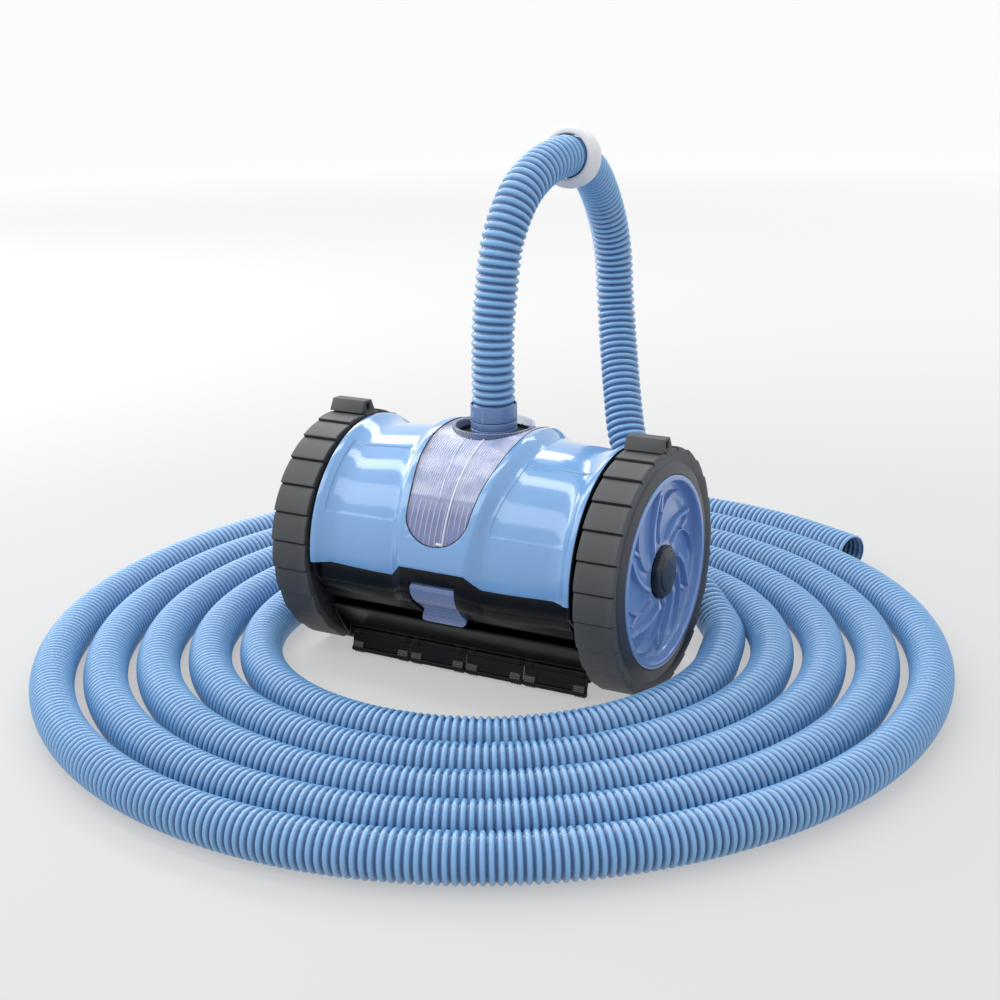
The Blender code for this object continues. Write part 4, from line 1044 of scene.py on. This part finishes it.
def make_latch():
    """A rolled top, an S-shaped tongue with a waist, and a lip with round corners."""
    path = smooth_route([Vector((0.0, y, z)) for y, z in LATCH_SPINE], 0.0007)
    front, back = [], []
    half_t = 0.0015
    for i, point in enumerate(path):
        a, b = path[max(i - 1, 0)], path[min(i + 1, len(path) - 1)]
        along = (b - a).normalized()
        across = Vector((0.0, -along.z, along.y))
        groove = 0.0010 * eased(1 - abs(point.z + 0.0262) / 0.0012)
        ledge = 0.0006 * eased(1 - abs(point.z + 0.0306) / 0.0008)
        front.append(point - across * (half_t - groove - ledge))
        back.append(point + across * half_t)
    if front[0].y > back[0].y:
        front, back = back, front
    roll = []
    for k in range(15):
        angle = math.radians(40 + 165 * k / 14)
        roll.append(Vector((0.0, LATCH_TOP_R * math.cos(angle), LATCH_TOP_R * math.sin(angle))))
    tip = path[-1] + (path[-1] - path[-2]).normalized() * 0.0010
    loop = roll + front[1:] + [tip] + back[:0:-1] + [Vector((0.0, 0.0035, -0.0062))]
    rows = []
    for t in [-1.0, -0.985, -0.94] + [-0.8 + 0.16 * k for k in range(11)] + [0.94, 0.985, 1.0]:
        pull = {1.0: 0.0005, 0.985: 0.0001}.get(abs(t), 0.0)
        row = []
        for point in loop:
            half = between(point.z, LATCH_WIDTHS)
            y = point.y + (pull if point.y < 0.003 and point.z > -0.003 else 0.0)
            row.append((half * t, LATCH_PIN[0] + y, LATCH_PIN[1] + point.z))
        rows.append(row)
    latch = grid("latch_tongue", rows, around=True, caps=True)
    cut(latch, bore(0.0018, *LATCH_PIN, 24))
    parts = [latch]
    for low in (-0.0360, -0.0383):
        y = LATCH_PIN[0] + between(-low, [(-z, y) for y, z in LATCH_SPINE]) - 0.0019
        z = LATCH_PIN[1] + low
        parts.append(block(0.0060, 0.0168, (y, z), (y + 0.001, z + 0.0009), 0.0003))
    dress(joined("latch_detail", parts), "latch_blue", "latch", replaces=["latch"],
          sharp=38)


FOOT_TOP = TUB_Z - 0.0010
FOOT_WALL = 0.0028


def foot_ring():
    top, wall = FOOT_TOP, FOOT_WALL
    points = [(-0.0970, TUB_Z + 0.0105), (-0.0930, TUB_Z + 0.0120), (-0.0775, top), (0.0690, top),
              (0.0690, TUB_Z - 0.0240), (0.0662, TUB_Z - 0.0240), (0.0662, top - wall),
              (-0.0750, top - wall), (-0.0570, FLAP_Z + 0.0070), (-0.0620, FLAP_Z + 0.0050)]
    return rounded_profile(points, 0.0009)


def make_foot():
    """The suction foot: channel, front lip with a bead, side walls and knuckles."""
    foot = bevelled(extruded("foot_channel", foot_ring(), -FOOT_HALF, FOOT_HALF), 0.0005)
    hole = box((-THROAT_X + 0.001, -THROAT_Y + 0.001, TUB_Z - 0.01),
               (THROAT_X - 0.001, THROAT_Y - 0.001, TUB_Z + 0.01))
    cut(foot, hole)
    parts = [foot]
    for side in (1, -1):
        parts.append(block(side * (FOOT_HALF - FOOT_WALL), side * FOOT_HALF,
                           (-0.0660, FLAP_Z - 0.0065), (0.0680, TUB_Z - 0.002), 0.0008))
        parts.append(block(side * 0.0906, side * 0.1006, (0.0600, FOOT_TOP - FOOT_WALL),
                           (FOOT_PIN_Y, FOOT_TOP), 0.0006))
        x0, x1 = sorted((side * 0.0906, side * 0.1006))
        parts.append(sleeve(0.0023, 0.0045, x0, x1, FOOT_PIN_Y, FOOT_PIN_Z, 0.0004, 32))
    parts.append(round_bar(0.0015, -0.1425, 0.1425, -0.0962, TUB_Z + 0.0106))
    parts.append(round_bar(0.0012, -0.1425, 0.1425, -0.0628, FLAP_Z + 0.0062))
    for seam in (-FLAP_SEAM, 0.0, FLAP_SEAM):
        for x in (seam - 0.0085, seam + 0.0085):
            parts.append(round_bar(0.0022, x - 0.0050, x + 0.0050, -0.0622, FLAP_Z + 0.0060))
    dress(joined("foot_detail", parts), "black_plastic", "foot", replaces=["suction_foot"])
    skirt_rows = []
    for i in range(4):
        z = FLAP_GROUND + (TUB_Z - 0.008 - FLAP_GROUND) * i / 3
        lean = 0.0004 * (1 - i / 3)
        skirt_rows.append([(-0.1408, 0.0693 + lean, z), (0.1408, 0.0693 + lean, z),
                           (0.1408, 0.0715, z), (-0.1408, 0.0715, z)])
    skirt = bevelled(grid("skirt_strip", skirt_rows, around=True, caps=True), 0.0005)
    dress(skirt, "seal_rubber", "foot", replaces=["rear_skirt"])


def make_flaps():
    """Each flap: a hinge tube with collars, a blade, clips, and a toe rod with bumps."""
    end = FOOT_HALF - FOOT_WALL - 0.0008
    seams = [-end, -FLAP_SEAM, 0.0, FLAP_SEAM, end]
    toe_r = 0.0030
    toe = (FLAP_Y - 0.0055, FLAP_GROUND + toe_r)
    half = 0.0013
    for k in range(4):
        x0, x1 = seams[k] + GAP, seams[k + 1] - GAP
        body = "flap_%d" % (k + 1)
        blade = [(FLAP_Y - half, FLAP_Z), (FLAP_Y + half, FLAP_Z), (toe[0] + half, toe[1]),
                 (toe[0] - half, toe[1])]
        parts = [extruded("blade", blade, x0 + 0.0004, x1 - 0.0004)]
        parts.append(sleeve(0.0023, 0.0038, x0, x1, FLAP_Y, FLAP_Z, 0.0005))
        for c in (x0 + 0.0035, x1 - 0.0105):
            parts.append(sleeve(0.0036, 0.0045, c, c + 0.0070, FLAP_Y, FLAP_Z, 0.0004))
        parts.append(round_bar(toe_r, x0 + 0.0003, x1 - 0.0003, toe[0], toe[1]))
        slope = (toe[0] - FLAP_Y) / (toe[1] - FLAP_Z)
        clips = []
        for c in (x0 + 0.0022, x1 - 0.0142):
            for i in range(3):
                z = toe[1] + 0.0036 + 0.0020 * i
                y = FLAP_Y + slope * (z - FLAP_Z) - 0.0026
                clips.append(block(c, c + 0.0120, (y - 0.0012, z - 0.0007),
                                   (y + 0.0022, z + 0.0007), 0.0003))
            z = toe[1] + 0.0056
            y = FLAP_Y + slope * (z - FLAP_Z) - 0.0022
            clips.append(block(c + 0.0003, c + 0.0117, (y - 0.0006, z - 0.0029),
                               (y + 0.0018, z + 0.0029), 0.0003))
            for i in range(4):
                bump = c + 0.0012 + 0.0030 * i
                parts.append(round_bar(0.0011, bump, bump + 0.0018, toe[0] - 0.0006,
                                       toe[1] - toe_r + 0.0003, 14, 0.0003))
        dress(joined("flap_%d_detail" % (k + 1), parts), "black_plastic", body,
              replaces=["front_flap_%d" % (k + 1)])
        dress(joined("flap_%d_clips" % (k + 1), clips), "clip_grey", body)


# ---------------------------------------------------------------- outlet and hose

def upright(name, profile, rounding, look, body, replaces=()):
    """A ring turned about the outlet's middle line."""
    obj = lathe(name, rounded_profile(profile, rounding), 96, closed=True)
    obj.data.transform(Matrix.Translation((0.0, OUTLET_Y, 0.0)))
    return dress(obj, look, body, replaces=replaces)


def make_outlet():
    top = AXLE_Z + SADDLE_R + 0.0055
    low = AXLE_Z + SADDLE_R - 0.0195 + 0.0025 + 0.0025 + 2 * GAP
    r, inner = 0.0244, 0.0193
    collar = [(inner, low), (r, low), (r, top - 0.0085), (r - 0.0005, top - 0.0081),
              (r - 0.0005, top - 0.0077), (r, top - 0.0073), (r, top), (inner, top)]
    upright("collar_sleeve", collar, 0.0005, "collar_blue", "swivel", ["swivel_collar"])
    low = top + 2 * GAP
    high = low + 0.0165
    cuff = [(inner, low), (r, low), (r, high), (r - 0.0013, high), (r - 0.0013, high - 0.0035),
            (HOSE_R + GAP, high - 0.0040), (HOSE_R + GAP, low + 0.0040), (inner, low + 0.0040)]
    upright("cuff_sleeve", cuff, 0.0005, "collar_blue", "chassis", ["hose_cuff"])


def spiral_point(turns):
    angle = math.radians(SPIRAL_START + 360 * turns)
    radius = SPIRAL_R - SPIRAL_STEP * turns
    return Vector((SPIRAL_X + radius * math.cos(angle), SPIRAL_Y + radius * math.sin(angle),
                   HOSE_R))


def hose_line():
    """The centreline from the cuff over the arch and round the coil to the open end."""
    count = 150
    spiral = [spiral_point(SPIRAL_TURNS * i / count) for i in range(count + 1)]
    points = spiral + [Vector(point) for point in RISE]
    return smooth_route(points, 0.004)[::-1]


def make_hose():
    """The corrugated hose: a ring of points at each phase of each rib, with its inside
    modelled at the open end; its height marks paint shade in the grooves and inside the open end."""
    line = np.array([tuple(p) for p in hose_line()])
    along = np.concatenate([[0.0], np.cumsum(np.linalg.norm(np.diff(line, axis=0), axis=1))])
    total = float(along[-1])
    phases = [0.0, 0.15, 0.30, 0.42, 0.58, 0.70, 0.85]
    heights = [1.0, 0.93, 0.52, 0.06, 0.06, 0.52, 0.93]
    stations, depth = [], []
    at = 0.0
    while at < total:
        arch = 1.0 - eased((at - 0.9) / 0.9)
        pitch = COIL_PITCH + (RISE_PITCH - COIL_PITCH) * arch
        for phase, height in zip(phases, heights):
            if at + phase * pitch < total:
                stations.append(at + phase * pitch)
                depth.append(RIB_DEPTH * (1 - height))
        at += pitch
    stations = np.array(stations)
    centre = np.stack([np.interp(stations, along, line[:, i]) for i in range(3)], axis=1)
    ahead = np.stack([np.interp(np.clip(stations + 0.006, 0, total), along, line[:, i])
                      - np.interp(np.clip(stations - 0.006, 0, total), along, line[:, i])
                      for i in range(3)], axis=1)
    ahead /= np.linalg.norm(ahead, axis=1)[:, None]
    sides = 30
    turn = np.arange(sides) * 2 * math.pi / sides
    side = Vector((1.0, 0.0, 0.0))
    axes = []
    for tangent in ahead:
        t = Vector(tangent)
        side = (side - t * side.dot(t)).normalized()
        axes.append((tuple(side), tuple(t.cross(side))))
    axes = np.array(axes)
    radius = HOSE_R - np.array(depth)

    def ring(i, r):
        return centre[i] + r * (np.cos(turn)[:, None] * axes[i, 0]
                                + np.sin(turn)[:, None] * axes[i, 1])

    rings = [ring(i, radius[i]) for i in range(len(stations))]
    wall = 0.0013
    inside = [ring(i, radius[i] - wall) for i in range(len(stations) - 1, len(stations) - 160, -1)]
    # low marks in the grooves, and 0.3 inside the open end, paint shade there with the groove
    # colour
    marks = [1.0 - d / RIB_DEPTH for d in depth] + [0.3] * len(inside)
    rings += inside
    verts = np.concatenate(rings)
    count = len(rings)
    base = (np.arange(count - 1) * sides)[:, None]
    j = np.arange(sides)[None, :]
    k = (j + 1) % sides
    quads = np.stack([base + j, base + k, base + sides + k, base + sides + j], axis=2)
    faces = [tuple(q) for q in quads.reshape(-1, 4).tolist()]
    faces += [tuple(range(sides))[::-1], tuple(range((count - 1) * sides, count * sides))]
    hose = placed("hose_run", verts.tolist(), faces)
    first = hose.data.polygons[0]
    if first.normal.dot(first.center - Vector(centre[0])) < 0:
        hose.data.flip_normals()
    mark_height(hose, np.repeat(np.array(marks), sides).tolist())
    dress(hose, "hose_blue", "chassis", replaces=["hose_rise", "hose_coil"], sharp=None)
    ring_piece = make_float(line)


def make_float(line):
    """The white ring: a rounded foam-filled band round the hose."""
    at = np.array(FLOAT_AT)
    i = int(np.argmin(np.linalg.norm(line - at, axis=1)))
    step = Vector(line[i + 5] - line[i - 5])
    bore = HOSE_R + 0.0014
    half = FLOAT_LENGTH / 2
    profile = [(bore, -half + 0.001), (bore + 0.0006, -half + 0.0002)]
    for k in range(17):
        a = math.pi * (k / 16 - 0.5)
        reach = abs(math.sin(a)) ** 0.8 * half
        profile.append((bore + 0.0012 + (FLOAT_R - bore - 0.0012) * abs(math.cos(a)) ** 0.75,
                        math.copysign(reach, math.sin(a))))
    profile += [(bore + 0.0006, half - 0.0002), (bore, half - 0.001)]
    obj = lathe("float_ring", profile, 96, closed=True)
    turn = step.to_track_quat("Z", "Y").to_matrix().to_4x4()
    obj.data.transform(Matrix.Translation(Vector(line[i])) @ turn)
    return dress(obj, "float_white", "chassis", replaces=["hose_float"], sharp=60)


# ---------------------------------------------------------------- CAD pieces that stay

def finish_cad_pieces():
    looks = {item["node"]: item["material_slot"] for item in frame["record"]["subparts"]}
    for name, obj in frame["nodes"].items():
        if obj.hide_render:
            continue
        obj.data.materials.clear()
        obj.data.materials.append(LOOKS[looks[name]])


# ---------------------------------------------------------------- floor, light and camera

CAMERA_AT = (0.80219616, -1.43532182, 0.70633089)
FLOOR_REACH = 150.0             # so far that its edge meets the background at the horizon


def make_floor():
    reach = FLOOR_REACH
    floor = grid("floor", [[(x, y, 0.0) for x in (-reach, reach)] for y in (-reach, reach)])
    floor.data.materials.append(floor_finish())


def area_light(name, place, aim, size, power):
    """A rectangular light whose long side runs level, along X as far as it can."""
    light = bpy.data.lights.new(name, "AREA")
    light.shape = "RECTANGLE"
    light.size, light.size_y = size
    light.energy = power
    obj = bpy.data.objects.new(name, light)
    back = (Vector(place) - Vector(aim)).normalized()
    across = (Vector((1, 0, 0)) - back * back.x).normalized()
    turn = Matrix((across, back.cross(across), back)).transposed().to_4x4()
    obj.matrix_world = Matrix.Translation(place) @ turn
    bpy.context.scene.collection.objects.link(obj)


def strip(name, degrees, distance, size, power):
    """A long light that shows in the casing at this angle round it, seen from the front."""
    aim = Vector(on_casing(0.0, BARREL_R, degrees))
    normal = Vector((0.0, -math.cos(math.radians(degrees)), math.sin(math.radians(degrees))))
    view = (Vector(CAMERA_AT) - aim).normalized()
    way = 2 * normal.dot(view) * normal - view
    area_light(name, aim + way * distance, aim, size, power)


def make_light():
    world = bpy.data.worlds.new("studio")
    bpy.context.scene.world = world
    world.use_nodes = True
    ground = world.node_tree.nodes["Background"]
    ground.inputs["Color"].default_value = (0.975, 0.98, 0.985, 1.0)
    ground.inputs["Strength"].default_value = 1.0
    strip("high_strip", 75.0, 2.6, (5.0, 0.62), 52)
    strip("middle_strip", 56.0, 2.6, (5.0, 0.50), 34)
    strip("low_strip", 37.5, 2.8, (5.0, 1.00), 28)


def make_camera():
    azimuth, elevation, roll = (math.radians(a) for a in (28.92756, 17.88405, -1.10784))
    back = Vector((math.sin(azimuth) * math.cos(elevation),
                   -math.cos(azimuth) * math.cos(elevation), math.sin(elevation)))
    right = Vector((math.cos(azimuth), math.sin(azimuth), 0.0))
    up = back.cross(right)
    across = math.cos(roll) * right + math.sin(roll) * up
    above = math.cos(roll) * up - math.sin(roll) * right
    data = bpy.data.cameras.new("camera")
    data.sensor_width = 36.0
    data.lens = 59.2005
    data.clip_start, data.clip_end = 0.05, 500.0
    camera = bpy.data.objects.new("camera", data)
    turn = Matrix((across, above, back)).transposed().to_4x4()
    camera.matrix_world = Matrix.Translation(CAMERA_AT) @ turn
    bpy.context.scene.collection.objects.link(camera)
    bpy.context.scene.camera = camera


def main():
    bpy.context.scene.view_settings.view_transform = "Standard"
    make_camera()
    make_hose()
    make_cover()
    make_window()
    make_rim()
    make_chassis()
    make_end_plates()
    for side, name in ((1, "right"), (-1, "left")):
        make_tyre(side, name)
        make_hub(side, name)
        make_cap(side, name)
    make_latch()
    make_foot()
    make_flaps()
    make_outlet()
    finish_cad_pieces()
    make_floor()
    make_light()


main()
